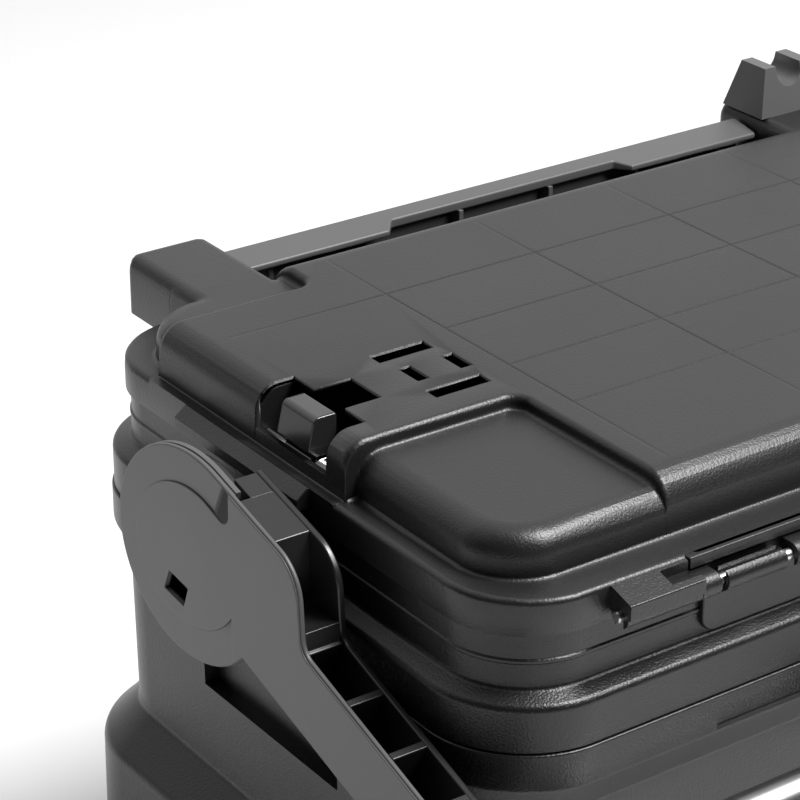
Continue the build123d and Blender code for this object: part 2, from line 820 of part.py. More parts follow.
def edge_band(width, back):
    """Band along the edge of the outer plate, from the hub's foot round to a line behind its pivot"""
    drop = width / cos(radians(shoulder_slope))
    with BuildSketch() as band:
        add(arm_outline(True))
        add(hub_oval(width), mode=Mode.SUBTRACT)
        with BuildLine():
            Polyline(
                (top_y, top_z - drop),
                (shoulder_y, shoulder_z - drop),
                (shoulder_y, hub_z - oval_long),
                (top_y, hub_z - oval_long),
                close=True,
            )
        make_face(mode=Mode.SUBTRACT)
        with Locations((hub_y - back, hub_z)):
            Rectangle(handle_reach, 4 * oval_long, align=(Align.MAX, Align.CENTER), mode=Mode.SUBTRACT)
    return band.sketch


def handle_arm(side):
    """Arm of the bail handle on one side: two plates, ribs, drum and pivot post"""
    outer_x = side * hub_plane_outer
    inner_x = side * (hub_plane_outer - handle_depth)
    with BuildPart() as arm:
        with BuildSketch(Plane.YZ.offset(outer_x)):
            add(arm_outline(True))
        extrude(amount=-side * plate_thickness)
        face = arm.faces().sort_by(Axis.X)[0 if side < 0 else -1]
        fillet(face.edges(), plate_edge_radius)
        with BuildSketch(Plane.YZ.offset(outer_x - side * plate_thickness)) as core:
            add(arm_outline(False))
            # Pocket in the shoulder
            with BuildLine():
                Polyline(
                    (hub_y - pocket_back, shoulder_z + overrun),
                    (armpit_y - shoulder_radius, shoulder_z + overrun),
                    (armpit_y - shoulder_radius, armpit_z + arm_rib_thickness + armpit_radius / 2),
                    (hub_y - pocket_back, armpit_z + arm_rib_thickness + armpit_radius / 2),
                    close=True,
                )
            make_face(mode=Mode.SUBTRACT)
            # Pockets along the arm
            for spot in range(arm_pocket_count):
                step = (arm_pocket_length + arm_rib_thickness) * (spot + 1 / 2)
                place = Vector(armpit_y, armpit_z) - across * (arm_width / 2) + along * step
                place += across * (arm_web / 2)
                with Locations((place.X, place.Y)):
                    Rectangle(arm_pocket_length, arm_width - arm_web + overrun, rotation=arm_slope,
                              mode=Mode.SUBTRACT)
        extrude(amount=-side * (handle_depth - 2 * plate_thickness))
        with BuildSketch(Plane.YZ.offset(inner_x)):
            add(arm_outline(False))
        extrude(amount=side * plate_thickness)
        # Slot between the hub's rim and the web, then the rim
        with BuildSketch(Plane.YZ.offset(outer_x - side * hub_rim_depth)):
            add(arm_outline(True))
            with Locations((hub_y - hub_rim_back, hub_z)):
                Rectangle(handle_reach, 4 * oval_long, align=(Align.MAX, Align.CENTER), mode=Mode.SUBTRACT)
            with Locations((hub_y, hub_z)):
                Circle(drum_radius, mode=Mode.SUBTRACT)
        extrude(amount=-side * web_slot, mode=Mode.SUBTRACT)
        with BuildSketch(Plane.YZ.offset(outer_x - side * plate_thickness)):
            add(edge_band(hub_rim_wall, hub_rim_back))
        extrude(amount=-side * (hub_rim_depth - plate_thickness))
        # Open drum with the pivot post inside
        with BuildSketch(Plane.YZ.offset(outer_x - side * plate_thickness)):
            with Locations((hub_y, hub_z)):
                Circle(drum_radius - drum_wall)
        extrude(amount=-side * handle_depth, mode=Mode.SUBTRACT)
        with BuildSketch(Plane.YZ.offset(outer_x - side * plate_thickness)):
            with Locations((hub_y, hub_z)):
                Circle(post_radius)
        post_end = seat_x + washer_thickness + pivot_head_height
        extrude(amount=-side * (hub_plane_outer - plate_thickness - post_end))
        with BuildSketch(Plane.YZ.offset(side * post_end)):
            with Locations((hub_y, hub_z)):
                Circle(pivot_screw_radius)
        extrude(amount=side * pivot_screw_length, mode=Mode.SUBTRACT)
        # Sunk band along the hub's edge, rounded where it ends
        with BuildSketch(Plane.YZ.offset(outer_x)) as sunk:
            add(edge_band(hub_step_width, hub_step_back))
            ends = sunk.vertices().group_by(Axis.X)[0].sort_by(Axis.Y)
            fillet(ends[-2], hub_step_corner)
        extrude(amount=-side * hub_step_depth, mode=Mode.SUBTRACT)
        # Key hole, a little out of square
        with BuildSketch(Plane.YZ.offset(outer_x)):
            with BuildLine():
                key_spot = Vector(hub_y - key_back, hub_z - key_drop)
                key_along = Vector(cos(radians(key_turn)), sin(radians(key_turn))) * (key_length / 2)
                key_across = Vector(-sin(radians(key_lean)), cos(radians(key_lean))) * (key_width / 2)
                Polyline(
                    key_spot + key_along + key_across,
                    key_spot - key_along + key_across,
                    key_spot - key_along - key_across,
                    key_spot + key_along - key_across,
                    close=True,
                )
            make_face()
        extrude(amount=-side * plate_thickness, mode=Mode.SUBTRACT)
        # Blind bore for the tube
        with BuildSketch(Plane.YZ.offset(inner_x)):
            with Locations((bar_y, bar_z)):
                Circle(tube_radius + tube_fit)
        extrude(amount=side * (handle_depth - plate_thickness), mode=Mode.SUBTRACT)
        with BuildSketch(Plane.XY.offset(bar_z - arm_end_radius - overrun)):
            with Locations((side * (hub_plane_outer - handle_depth / 2), bar_y)):
                Circle(tube_screw_radius)
        extrude(amount=arm_end_radius, mode=Mode.SUBTRACT)
    return arm


for side, hand in ((-1, "left"), (1, "right")):
    arm = handle_arm(side)
    arm.part.label = f"handle_arm_{hand}"
    export_step(arm.part, f"parts/handle_arm_{hand}.step")

# Crossbar tube, its screws and the sleeve
tube_half = hub_plane_outer - plate_thickness - tube_end_gap
with BuildPart() as handle_tube:
    with BuildSketch(Plane.YZ.offset(-tube_half)):
        with Locations((bar_y, bar_z)):
            Circle(tube_radius)
            Circle(tube_radius - tube_wall, mode=Mode.SUBTRACT)
    extrude(amount=2 * tube_half)
    with BuildSketch(Plane.XY.offset(bar_z - tube_radius - overrun)):
        with Locations((0, bar_y)):
            with GridLocations(2 * hub_plane_outer - handle_depth, 0, 2, 1):
                Circle(tube_screw_radius)
    extrude(amount=tube_wall + 2 * overrun, mode=Mode.SUBTRACT)
handle_tube.part.label = "handle_tube"
export_step(handle_tube.part, "parts/handle_tube.step")

with BuildPart() as tube_screws:
    with BuildSketch(Plane.XY.offset(bar_z - arm_end_radius)):
        with Locations((0, bar_y)):
            with GridLocations(2 * hub_plane_outer - handle_depth, 0, 2, 1):
                Circle(tube_screw_radius)
    extrude(amount=tube_screw_length)
    with BuildSketch(Plane.XY.offset(bar_z - arm_end_radius)):
        with Locations((0, bar_y)):
            with GridLocations(2 * hub_plane_outer - handle_depth, 0, 2, 1):
                Circle(tube_screw_head)
    extrude(amount=-tube_screw_radius)
tube_screws.part.label = "tube_screws"
export_step(tube_screws.part, "parts/tube_screws.step")

with BuildPart() as handle_grip:
    with BuildSketch(Plane.YZ.offset(-grip_length / 2)):
        with Locations((bar_y, bar_z)):
            Circle(grip_radius)
    extrude(amount=grip_length)
    chamfer(handle_grip.edges(), grip_edge)
    for spot in range(grip_groove_count):
        groove_x = (spot - (grip_groove_count - 1) / 2) * grip_groove_pitch
        with BuildSketch(Plane.YZ.offset(groove_x - grip_groove_width / 2)):
            with Locations((bar_y, bar_z)):
                Circle(grip_radius + overrun)
                Circle(grip_radius - grip_groove_depth, mode=Mode.SUBTRACT)
        extrude(amount=grip_groove_width, mode=Mode.SUBTRACT)
    with BuildSketch(Plane.YZ.offset(-grip_length / 2)):
        with Locations((bar_y, bar_z)):
            Circle(tube_radius + tube_fit)
    extrude(amount=grip_length, mode=Mode.SUBTRACT)
handle_grip.part.label = "handle_grip"
export_step(handle_grip.part, "parts/handle_grip.step")

# Pivot washers and screws, inside the box
washer_x = seat_x + washer_thickness + pivot_head_height
with BuildPart() as pivot_washers:
    for side in (-1, 1):
        with BuildSketch(Plane.YZ.offset(side * washer_x)):
            with Locations((hub_y, hub_z)):
                Circle(washer_radius)
                Circle(pivot_screw_radius, mode=Mode.SUBTRACT)
        extrude(amount=-side * washer_thickness)
pivot_washers.part.label = "pivot_washers"
export_step(pivot_washers.part, "parts/pivot_washers.step")

with BuildPart() as pivot_screws:
    for side in (-1, 1):
        with BuildSketch(Plane.YZ.offset(side * (washer_x - washer_thickness))):
            with Locations((hub_y, hub_z)):
                Circle(pivot_head_radius)
        extrude(amount=-side * pivot_head_height)
        with BuildSketch(Plane.YZ.offset(side * (washer_x - washer_thickness))):
            with Locations((hub_y, hub_z)):
                Circle(pivot_screw_radius)
        extrude(amount=side * (pivot_screw_length + washer_thickness))
pivot_screws.part.label = "pivot_screws"
export_step(pivot_screws.part, "parts/pivot_screws.step")

# Latch paddles, pins and springs
latch_z = box_height - latch_pin_down


def latch_paddle(side):
    """Latch paddle: dished thumb piece, barrel and leg with a nose"""
    face = half_length - paddle_face
    barrel_x = half_length - latch_pin_in
    top = box_height - paddle_drop
    low = top - paddle_height
    nose_x = half_length - neck_inset - rim_wall - latch_nose_gap
    latch_leg_bottom = catch_top - catch_height
    with BuildPart() as paddle:
        with BuildSketch(Plane.XZ.offset(-paddle_width / 2)) as profile:
            with BuildLine():
                Polyline(
                    (side * face, low),
                    (side * face, top),
                    (side * (face - paddle_depth), top),
                    (side * (face - paddle_depth), top - paddle_wall),
                    (side * (face - paddle_wall), top - 2 * paddle_wall),
                    (side * (face - latch_leg_wall), latch_leg_bottom),
                    (side * nose_x, latch_leg_bottom),
                    (side * nose_x, latch_leg_bottom + latch_nose_height),
                    (side * (face - neck_inset / 4), latch_leg_bottom + 2 * latch_nose_height),
                    close=True,
                )
            make_face()
            fillet(
                profile.vertices().sort_by_distance((side * face, top))[0],
                paddle_edge_radius,
            )
            with Locations((side * barrel_x, latch_z)):
                Circle(latch_barrel_radius)
                Circle(latch_pin_radius + pin_clearance, mode=Mode.SUBTRACT)
        extrude(amount=paddle_width)
    return paddle


for side, hand in ((-1, "left"), (1, "right")):
    paddle = latch_paddle(side)
    paddle.part.label = f"latch_paddle_{hand}"
    export_step(paddle.part, f"parts/latch_paddle_{hand}.step")
    with BuildPart() as latch_pin:
        with BuildSketch(Plane.XZ.offset(-latch_pin_length / 2)):
            with Locations((side * (half_length - latch_pin_in), latch_z)):
                Circle(latch_pin_radius)
        extrude(amount=latch_pin_length)
    latch_pin.part.label = f"latch_pin_{hand}"
    export_step(latch_pin.part, f"parts/latch_pin_{hand}.step")
    with BuildPart() as latch_spring:
        spring_start = paddle_width / 2 + spring_gap
        with BuildSketch(Plane.XZ.offset(spring_start)):
            with Locations((side * (half_length - latch_pin_in), latch_z)):
                Circle(spring_radius)
                Circle(spring_radius - spring_wire, mode=Mode.SUBTRACT)
        extrude(amount=spring_length)
        with BuildSketch(Plane.XZ.offset(spring_start + spring_length - spring_wire)):
            with Locations((side * (half_length - latch_pin_in), latch_z + spring_radius - spring_wire / 2)):
                Rectangle(
                    spring_leg,
                    spring_wire,
                    align=(Align.MIN if side < 0 else Align.MAX, Align.CENTER),
                )
        extrude(amount=spring_wire)
    latch_spring.part.label = f"latch_spring_{hand}"
    export_step(latch_spring.part, f"parts/latch_spring_{hand}.step")

# Front pull bar and its pins
bar_half = half_length - wing_end - bar_gap
bar_pivot_y = half_width + bar_pivot_out
bar_top = box_height - bar_top_drop
with BuildPart() as pull_bar:
    with BuildSketch(Plane.YZ.offset(-bar_half)) as bar_section:
        with BuildLine():
            Polyline(
                (bar_pivot_y, bar_pivot_height),
                (half_width + bar_outer - bar_wall, bar_pivot_height + 2 * bar_barrel_radius),
                (half_width + bar_outer - bar_wall, bar_top - bar_top_height),
                (half_width + bar_outer - bar_top_depth, bar_top - bar_top_height),
                (half_width + bar_outer - bar_top_depth, bar_top - bar_top_height / 2),
                (half_width + bar_outer - bar_wall, bar_top),
                (half_width + bar_outer, bar_top - bar_edge_radius),
                (half_width + bar_outer, bar_pivot_height + 2 * bar_barrel_radius),
                (bar_pivot_y + bar_barrel_radius, bar_pivot_height),
                close=True,
            )
        make_face()
        with Locations((bar_pivot_y, bar_pivot_height)):
            Circle(bar_barrel_radius)
            Circle(bar_pin_radius, mode=Mode.SUBTRACT)
    extrude(amount=2 * bar_half)
    # Finger scoop in the middle of the top
    with BuildSketch(Plane.XY.offset(bar_top - bar_top_height - overrun)):
        with Locations((0, half_width + bar_outer - bar_top_depth)):
            Rectangle(bar_scoop_length, overrun, align=(Align.CENTER, Align.MAX))
            Trapezoid(
                bar_scoop_length,
                bar_scoop_depth,
                bar_scoop_angle,
                align=(Align.CENTER, Align.MIN),
            )
    extrude(amount=bar_top_height + 2 * overrun, mode=Mode.SUBTRACT)
    # Ribs behind the bar
    with BuildSketch(Plane.XY.offset(bar_pivot_height)):
        with Locations((0, half_width + bar_outer - bar_wall)):
            with GridLocations(bar_rib_pitch, 0, bar_rib_count, 1):
                Rectangle(bar_rib_thickness, bar_rib_width, align=(Align.CENTER, Align.MAX))
    extrude(amount=bar_top - bar_top_height - bar_pivot_height)
    # Noses that face the lid flange
    with BuildSketch(Plane.XY.offset(ledge_z - bar_nose_height / 2)):
        with Locations((0, half_width + bar_nose_gap)):
            with GridLocations(2 * bar_nose_place, 0, 2, 1):
                Rectangle(bar_nose_length, bar_outer - bar_wall - bar_nose_gap, align=(Align.CENTER, Align.MIN))
    extrude(amount=bar_nose_height)
pull_bar.part.label = "pull_bar"
export_step(pull_bar.part, "parts/pull_bar.step")

with BuildPart() as bar_pins:
    for side in (-1, 1):
        with BuildSketch(Plane.YZ.offset(side * (bar_half - bar_pin_length / 2))):
            with Locations((bar_pivot_y, bar_pivot_height)):
                Circle(bar_pin_radius)
        extrude(amount=side * bar_pin_length)
bar_pins.part.label = "bar_pins"
export_step(bar_pins.part, "parts/bar_pins.step")

# Rod rest and its screws
rest_x = half_length - (wing_start + wing_end) / 2
rest_y = half_width + wing_reach / 2
with BuildPart() as rod_rest:
    with BuildSketch(Plane.XY.offset(pad_z)):
        with Locations((rest_x, rest_y)):
            Rectangle(rest_length, rest_width)
    extrude(amount=rest_height, taper=rest_taper)
    with BuildSketch(Plane.XZ.offset(-rest_y - rest_width)):
        with Locations((rest_x, pad_z + rest_height - rest_notch_depth + rest_notch_width / 2)):
            Circle(rest_notch_width / 2)
            Rectangle(rest_notch_width, rest_height, align=(Align.CENTER, Align.MIN))
    extrude(amount=2 * rest_width, mode=Mode.SUBTRACT)
    with BuildSketch(Plane.XY.offset(pad_z)):
        with Locations((rest_x, rest_y)):
            with GridLocations(2 * rest_screw_place, 0, 2, 1):
                Circle(rest_screw_radius)
    extrude(amount=rest_screw_length - wing_corner_radius, mode=Mode.SUBTRACT)
rod_rest.part.label = "rod_rest"
export_step(rod_rest.part, "parts/rod_rest.step")

with BuildPart() as rest_screws:
    with BuildSketch(Plane.XY.offset(pad_z - wing_corner_radius)):
        with Locations((rest_x, rest_y)):
            with GridLocations(2 * rest_screw_place, 0, 2, 1):
                Circle(rest_head_radius)
    extrude(amount=-rest_head_height)
    with BuildSketch(Plane.XY.offset(pad_z - wing_corner_radius)):
        with Locations((rest_x, rest_y)):
            with GridLocations(2 * rest_screw_place, 0, 2, 1):
                Circle(rest_screw_radius)
    extrude(amount=rest_screw_length)
rest_screws.part.label = "rest_screws"
export_step(rest_screws.part, "parts/rest_screws.step")

# Lift-out tray with its dividers
tray_top = tray_ledge_height + tray_ledge_thickness + tray_flange_thickness
tray_flange_reach = -neck_inset - rim_wall - tray_gap
tray_reach = -tray_ledge_inset - tray_body_gap
with BuildPart() as inner_tray:
    add(stack((
        (tray_top - tray_depth, tray_reach - tray_wall),
        (tray_top, tray_reach),
    )))
    with BuildSketch(Plane.XY.offset(tray_top - tray_flange_thickness)):
        add(outline(0, tray_flange_reach))
    extrude(amount=tray_flange_thickness)
    add(stack((
        (tray_top - tray_depth + tray_wall, tray_reach - 2 * tray_wall),
        (tray_top, tray_reach - tray_wall),
    )), mode=Mode.SUBTRACT)
    # Rails that hold the dividers
    tray_floor = tray_top - tray_depth + tray_wall
    rail_offset = (divider_thickness + divider_rail_width) / 2 + divider_gap
    with BuildSketch(Plane.XY.offset(tray_floor)):
        for place in (-divider_place, divider_place):
            for lane in (-1, 1):
                with Locations((place, lane * (half_width + tray_reach - tray_wall / 2))):
                    with GridLocations(2 * rail_offset, 0, 2, 1):
                        Rectangle(
                            divider_rail_width,
                            2 * tray_wall + divider_rail_depth,
                            align=(Align.CENTER, Align.MAX if lane > 0 else Align.MIN),
                        )
    extrude(amount=divider_height)
inner_tray.part.label = "inner_tray"
export_step(inner_tray.part, "parts/inner_tray.step")

with BuildPart() as tray_dividers:
    low_half = half_width + tray_reach - 2 * tray_wall - divider_gap
    high_half = low_half + tray_wall * divider_height / (tray_depth - tray_wall)
    for place in (-divider_place, divider_place):
        with BuildSketch(Plane.YZ.offset(place - divider_thickness / 2)):
            with BuildLine():
                Polyline(
                    (-low_half, tray_floor),
                    (low_half, tray_floor),
                    (high_half, tray_floor + divider_height),
                    (-high_half, tray_floor + divider_height),
                    close=True,
                )
            make_face()
        extrude(amount=divider_thickness)
tray_dividers.part.label = "tray_dividers"
export_step(tray_dividers.part, "parts/tray_dividers.step")
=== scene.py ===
import json

import bmesh
import bpy
import numpy as np
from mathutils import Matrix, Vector
from mathutils.geometry import delaunay_2d_cdt


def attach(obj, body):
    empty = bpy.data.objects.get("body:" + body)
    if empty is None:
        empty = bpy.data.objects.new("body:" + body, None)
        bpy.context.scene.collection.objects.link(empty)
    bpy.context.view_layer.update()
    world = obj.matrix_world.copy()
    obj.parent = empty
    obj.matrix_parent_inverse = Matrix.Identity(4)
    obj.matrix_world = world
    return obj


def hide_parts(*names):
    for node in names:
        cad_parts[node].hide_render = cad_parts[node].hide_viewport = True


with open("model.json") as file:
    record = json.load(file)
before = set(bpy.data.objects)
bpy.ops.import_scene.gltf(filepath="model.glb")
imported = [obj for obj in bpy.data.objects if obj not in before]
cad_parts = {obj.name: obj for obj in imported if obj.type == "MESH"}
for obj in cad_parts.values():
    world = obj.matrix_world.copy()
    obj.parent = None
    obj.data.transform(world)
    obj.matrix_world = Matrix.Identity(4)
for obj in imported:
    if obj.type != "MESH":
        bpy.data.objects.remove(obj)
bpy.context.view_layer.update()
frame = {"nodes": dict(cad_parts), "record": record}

bl_info = {
    "name": "Seat Box",
    "version": (1, 0, 0),
    "blender": (4, 5, 0),
    "location": "3D View > Sidebar > Seat Box",
    "description": "Dresses the seat box frame with its moulded surfaces, hardware and finishes",
    "category": "Object",
}

MM = 0.001

# Finishes made so far, by name
FINISHES = {}


# Shape tools

def unit(rows):
    """Rows scaled to length one"""
    return rows / np.maximum(np.linalg.norm(rows, axis=-1, keepdims=True), 1e-12)


def rounded(points, radii, steps=8):
    """Closed outline whose corners are arcs: centre + radius * normal, the normal turning evenly through
    a corner. Returns points and normals, which face out where the corners run counter-clockwise."""
    p = np.asarray(points, float)
    r = np.broadcast_to(np.asarray(radii, float), len(p))
    into = unit(p - np.roll(p, 1, 0))
    out = unit(np.roll(p, -1, 0) - p)
    cross = into[:, 0] * out[:, 1] - into[:, 1] * out[:, 0]
    angle = np.arctan2(cross, (into * out).sum(1))
    side = np.where(angle >= 0, 1.0, -1.0)
    first = np.stack([into[:, 1], -into[:, 0]], 1)
    start = p - into * (np.abs(np.tan(angle / 2)) * r)[:, None]
    centre = start - (side * r)[:, None] * first
    turn = angle[:, None] * np.linspace(0, 1, steps + 1)
    c, s = np.cos(turn), np.sin(turn)
    normal = np.stack([first[:, :1] * c - first[:, 1:] * s, first[:, :1] * s + first[:, 1:] * c], -1)
    point = centre[:, None] + (side * r)[:, None, None] * normal
    return point.reshape(-1, 2), normal.reshape(-1, 2)


def outline(corners, steps=6):
    """Closed outline with its normals, from rows of x, y and corner radius"""
    rows = np.array(corners, float)
    return rounded(rows[:, :2], rows[:, 2], steps)


def box_loop(length, width, radius, steps=12):
    """Rounded rectangle about the origin, with its normals"""
    x, y = length / 2, width / 2
    return rounded([(x, -y), (x, y), (-x, y), (-x, -y)], radius, steps)


def rect(x0, x1, y0, y1, radius=0.5, steps=4):
    """Rounded rectangle between two corners, with its normals"""
    return rounded([(x1, y0), (x1, y1), (x0, y1), (x0, y0)], radius, steps)


def circle(centre, radius, count=64, hole=False):
    """Circle and its normals, run clockwise where it bounds a hole"""
    t = np.linspace(0, 2 * np.pi, count, endpoint=False) * (-1 if hole else 1)
    out = np.column_stack([np.cos(t), np.sin(t)])
    return np.asarray(centre) + radius * out, -out if hole else out


def arc(centre, radius, start, stop, count=17):
    """Points at radius from centre, from one angle in degrees to another"""
    t = np.radians(np.linspace(start, stop, count))
    return np.asarray(centre) + radius * np.column_stack([np.cos(t), np.sin(t)])


def free(points, step=4.0):
    """Closed outline with its long runs divided, and its normals. Each normal is square to the line
    between its point's two neighbours."""
    run = np.roll(points, -1, 0) - points
    count = np.maximum(np.ceil(np.linalg.norm(run, axis=1) / step), 1).astype(int)
    index = np.repeat(np.arange(len(points)), count)
    part = (np.arange(len(index)) - np.repeat(np.cumsum(count) - count, count)) / count[index]
    loop = points[index] + part[:, None] * run[index]
    along = unit(np.roll(loop, -1, 0) - np.roll(loop, 1, 0))
    return loop, np.column_stack([along[:, 1], -along[:, 0]])


def levels(profile, heights):
    """Profile of (reach, height) with a point added wherever it crosses one of the heights"""
    profile = np.asarray(profile, float)
    rows = [profile[:1]]
    for a, b in zip(profile[:-1], profile[1:]):
        low, high = sorted((a[1], b[1]))
        cuts = np.array([h for h in heights if low + 0.05 < h < high - 0.05])
        share = np.sort((cuts - a[1]) / (b[1] - a[1])) if len(cuts) else cuts
        rows += [a + share[:, None] * (b - a), b[None]]
    return np.concatenate(rows)


def walk(length, width, radius, x_stops, y_stops, steps=24):
    """Rounded rectangle about the origin, with its normals and with points added on its sides and ends"""
    loop, normal = box_loop(length, width, radius, steps)
    x, y = length / 2, width / 2
    xs, ys = np.sort(np.asarray(x_stops, float)), np.sort(np.asarray(y_stops, float))
    runs = [
        np.column_stack([np.full(len(ys), x), ys]), np.column_stack([xs[::-1], np.full(len(xs), y)]),
        np.column_stack([np.full(len(ys), -x), ys[::-1]]), np.column_stack([xs, np.full(len(xs), -y)])]
    faces = [(1, 0), (0, 1), (-1, 0), (0, -1)]
    corner = steps + 1
    points, normals = [], []
    for k in range(4):
        points += [loop[k * corner:(k + 1) * corner], runs[k]]
        normals += [normal[k * corner:(k + 1) * corner], np.broadcast_to(faces[k], runs[k].shape)]
    return np.concatenate(points), np.concatenate(normals).astype(float)


def within(x, y, loops):
    """True inside an odd number of closed outlines"""
    odd = np.zeros(np.shape(x), bool)
    for loop in loops:
        a, b = loop, np.roll(loop, -1, 0)
        across = (a[:, 1] > y[:, None]) != (b[:, 1] > y[:, None])
        fall = np.where(a[:, 1] == b[:, 1], 1.0, b[:, 1] - a[:, 1])
        reach = a[:, 0] + (y[:, None] - a[:, 1]) * (b[:, 0] - a[:, 0]) / fall
        odd ^= (across & (x[:, None] < reach)).sum(1) % 2 == 1
    return odd


def grid_faces(across, along, wrap_across=False, wrap_along=False):
    """Quads between the rows and columns of a grid of points"""
    i = np.arange(across if wrap_across else across - 1)[:, None]
    j = np.arange(along if wrap_along else along - 1)[None, :]
    a = i * along + j
    b = (i + 1) % across * along + j
    c = (i + 1) % across * along + (j + 1) % along
    d = i * along + (j + 1) % along
    return np.stack([a, b, c, d], -1).reshape(-1, 4)


class Shape:
    """Points and faces gathered in millimetres, then made one mesh"""

    def __init__(self):
        self.points, self.faces, self.count = [], [], 0

    def add(self, points, faces):
        points = np.asarray(points, float).reshape(-1, 3)
        self.points.append(points)
        self.faces += [[int(v) + self.count for v in face] for face in faces]
        self.count += len(points)
        return self

    def carry(self, loop, normals, profile, ring=False, low_cap=False, high_cap=False, plane="XY",
              sink=None):
        """Profile of (reach, height) carried round a loop: point = loop + reach * normal, raised by height.
        sink(points, reach) gives how far each point is pressed in along its normal."""
        reach, height = np.asarray(profile, float).T
        flat = loop[:, None, :] + reach[None, :, None] * normals[:, None, :]
        rise = np.broadcast_to(height, flat.shape[:2])
        grid = on_plane(flat[..., 0], flat[..., 1], rise, plane)
        if sink:
            facing = on_plane(normals[:, None, 0], normals[:, None, 1], 0 * rise, plane)
            grid = grid - sink(grid, reach)[..., None] * facing
        n, m = grid.shape[:2]
        faces = grid_faces(n, m, True, ring).tolist()
        if low_cap:
            faces.append([i * m for i in range(n)][::-1])
        if high_cap:
            faces.append([i * m + m - 1 for i in range(n)])
        return self.add(grid, faces)

    def plate(self, loops, low, high, edge=0.5, plane="XY"):
        """Flat piece with holes. Its walls are its loops, with both rims rounded off by
        reach = edge * (sin t - 1) and rise = edge * (1 - cos t), and a net fills both faces."""
        t = np.linspace(0, np.pi / 2, 4)
        curve = np.column_stack([edge * (np.sin(t) - 1), edge * (1 - np.cos(t))])
        profile = np.concatenate([curve + (0, low), (curve * (1, -1) + (0, high))[::-1]])
        rims = [loop - edge * normals for loop, normals in loops]
        for loop, normals in loops:
            self.carry(loop, normals, profile, plane=plane)
        plan, tri = net([(rim, True) for rim in rims], lambda x, y: within(x, y, rims))
        for level, turn in ((low, -1), (high, 1)):
            self.add(on_plane(plan[:, 0], plan[:, 1], np.full(len(plan), level), plane), tri[:, ::turn])
        return self

    def box(self, x, y, z, edge=0.4):
        """Block between two places on each axis, with softened rims"""
        return self.plate([rect(*x, *y, edge)], *z, edge)

    def bend(self, move):
        """Every point so far sent where move(points) says"""
        self.points = [move(np.concatenate(self.points))]
        return self

    def mirror(self, both=False):
        """The shape on the other side of X = 0, with the first one too where both is set"""
        points = np.concatenate(self.points) * (-1, 1, 1)
        faces = [face[::-1] for face in self.faces]
        if not both:
            self.points, self.faces, self.count = [], [], 0
        return self.add(points, faces)

    def object(self, name, body, material, node=None, sharp=35.0, shell=0.0):
        """Mesh object in metres, smooth but for its sharp edges, riding its body"""
        mesh = bpy.data.meshes.new(name)
        mesh.from_pydata((np.concatenate(self.points) * MM).tolist(), [], self.faces)
        joined = bmesh.new()
        joined.from_mesh(mesh)
        bmesh.ops.remove_doubles(joined, verts=joined.verts, dist=2e-6)
        joined.to_mesh(mesh)
        joined.free()
        mesh.shade_smooth()
        mesh.set_sharp_from_angle(angle=np.radians(sharp))
        piece = bpy.data.objects.new(name, mesh)
        bpy.context.scene.collection.objects.link(piece)
        mesh.materials.append(FINISHES[material])
        if shell:
            wall = piece.modifiers.new("Wall", "SOLIDIFY")
            wall.thickness = shell * MM
            wall.offset = -1
        even = piece.modifiers.new("Even shading", "WEIGHTED_NORMAL")
        even.keep_sharp = True
        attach(piece, body)
        if node:
            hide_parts(node)
        return piece


def on_plane(u, v, w, plane):
    """Points of a flat drawing (u, v) raised by w, set on a named plane"""
    order = {"XY": (u, v, w), "YZ": (w, u, v), "XZ": (u, -w, v)}[plane]
    return np.stack(np.broadcast_arrays(*order), -1)


def net(lines, keep):
    """Constrained Delaunay net through every line, less the triangles whose middles keep() drops"""
    points, edges = [], []
    for path, closed in lines:
        start = len(points)
        points += [Vector((float(a), float(b))) for a, b in path]
        count = len(path)
        edges += [(start + i, start + (i + 1) % count) for i in range(count if closed else count - 1)]
    found = delaunay_2d_cdt(points, edges, [], 0, 1e-4, False)
    plan = np.array([tuple(v) for v in found[0]])
    tri = np.array([face for face in found[2]])
    middle = plan[tri].mean(1)
    return plan, tri[keep(middle[:, 0], middle[:, 1])]


def rim_edges(tri):
    """Edges that only one triangle has, in that triangle's direction"""
    edges = np.concatenate([tri[:, [0, 1]], tri[:, [1, 2]], tri[:, [2, 0]]])
    key = np.sort(edges, 1)
    _, place, count = np.unique(key, axis=0, return_index=True, return_counts=True)
    return edges[place[count == 1]]


def round_over(outside, height, top_radius, foot_radius, draft=0.05):
    """Height over its foot of a wall with a rounded edge, a drafted side and a rounded foot.
    outside is the distance out from the wall's edge, so the flat top is where it is negative."""
    r = np.minimum(top_radius, 0.6 * height)
    f = np.minimum(foot_radius, 0.35 * height)
    run = np.maximum(height - r - f, 0) * draft
    d = outside
    edge = height - r + np.sqrt(np.maximum(r**2 - np.clip(d + r, 0, None) ** 2, 0))
    side = height - r - np.clip(d, 0, None) / draft
    foot = f - np.sqrt(np.maximum(f**2 - np.clip(run + f - d, 0, f) ** 2, 0))
    return np.where(d <= 0, edge, np.where(d <= run, side, foot))


def box_distance(x, y, half_x, half_y, radius):
    """Distance out from a rounded rectangle about the origin"""
    a = np.abs(x) - half_x + radius
    b = np.abs(y) - half_y + radius
    return np.hypot(np.maximum(a, 0), np.maximum(b, 0)) + np.minimum(np.maximum(a, b), 0) - radius


# Finishes

# Slow changes over a surface: their scale, their detail, and how far roughness falls and rises with them
SLOW_SCALE, SLOW_DETAIL = 14.0, 3.0
GLOSS_FALL, GLOSS_RISE = 0.05, 0.06
COAT_ROUGH = 0.12


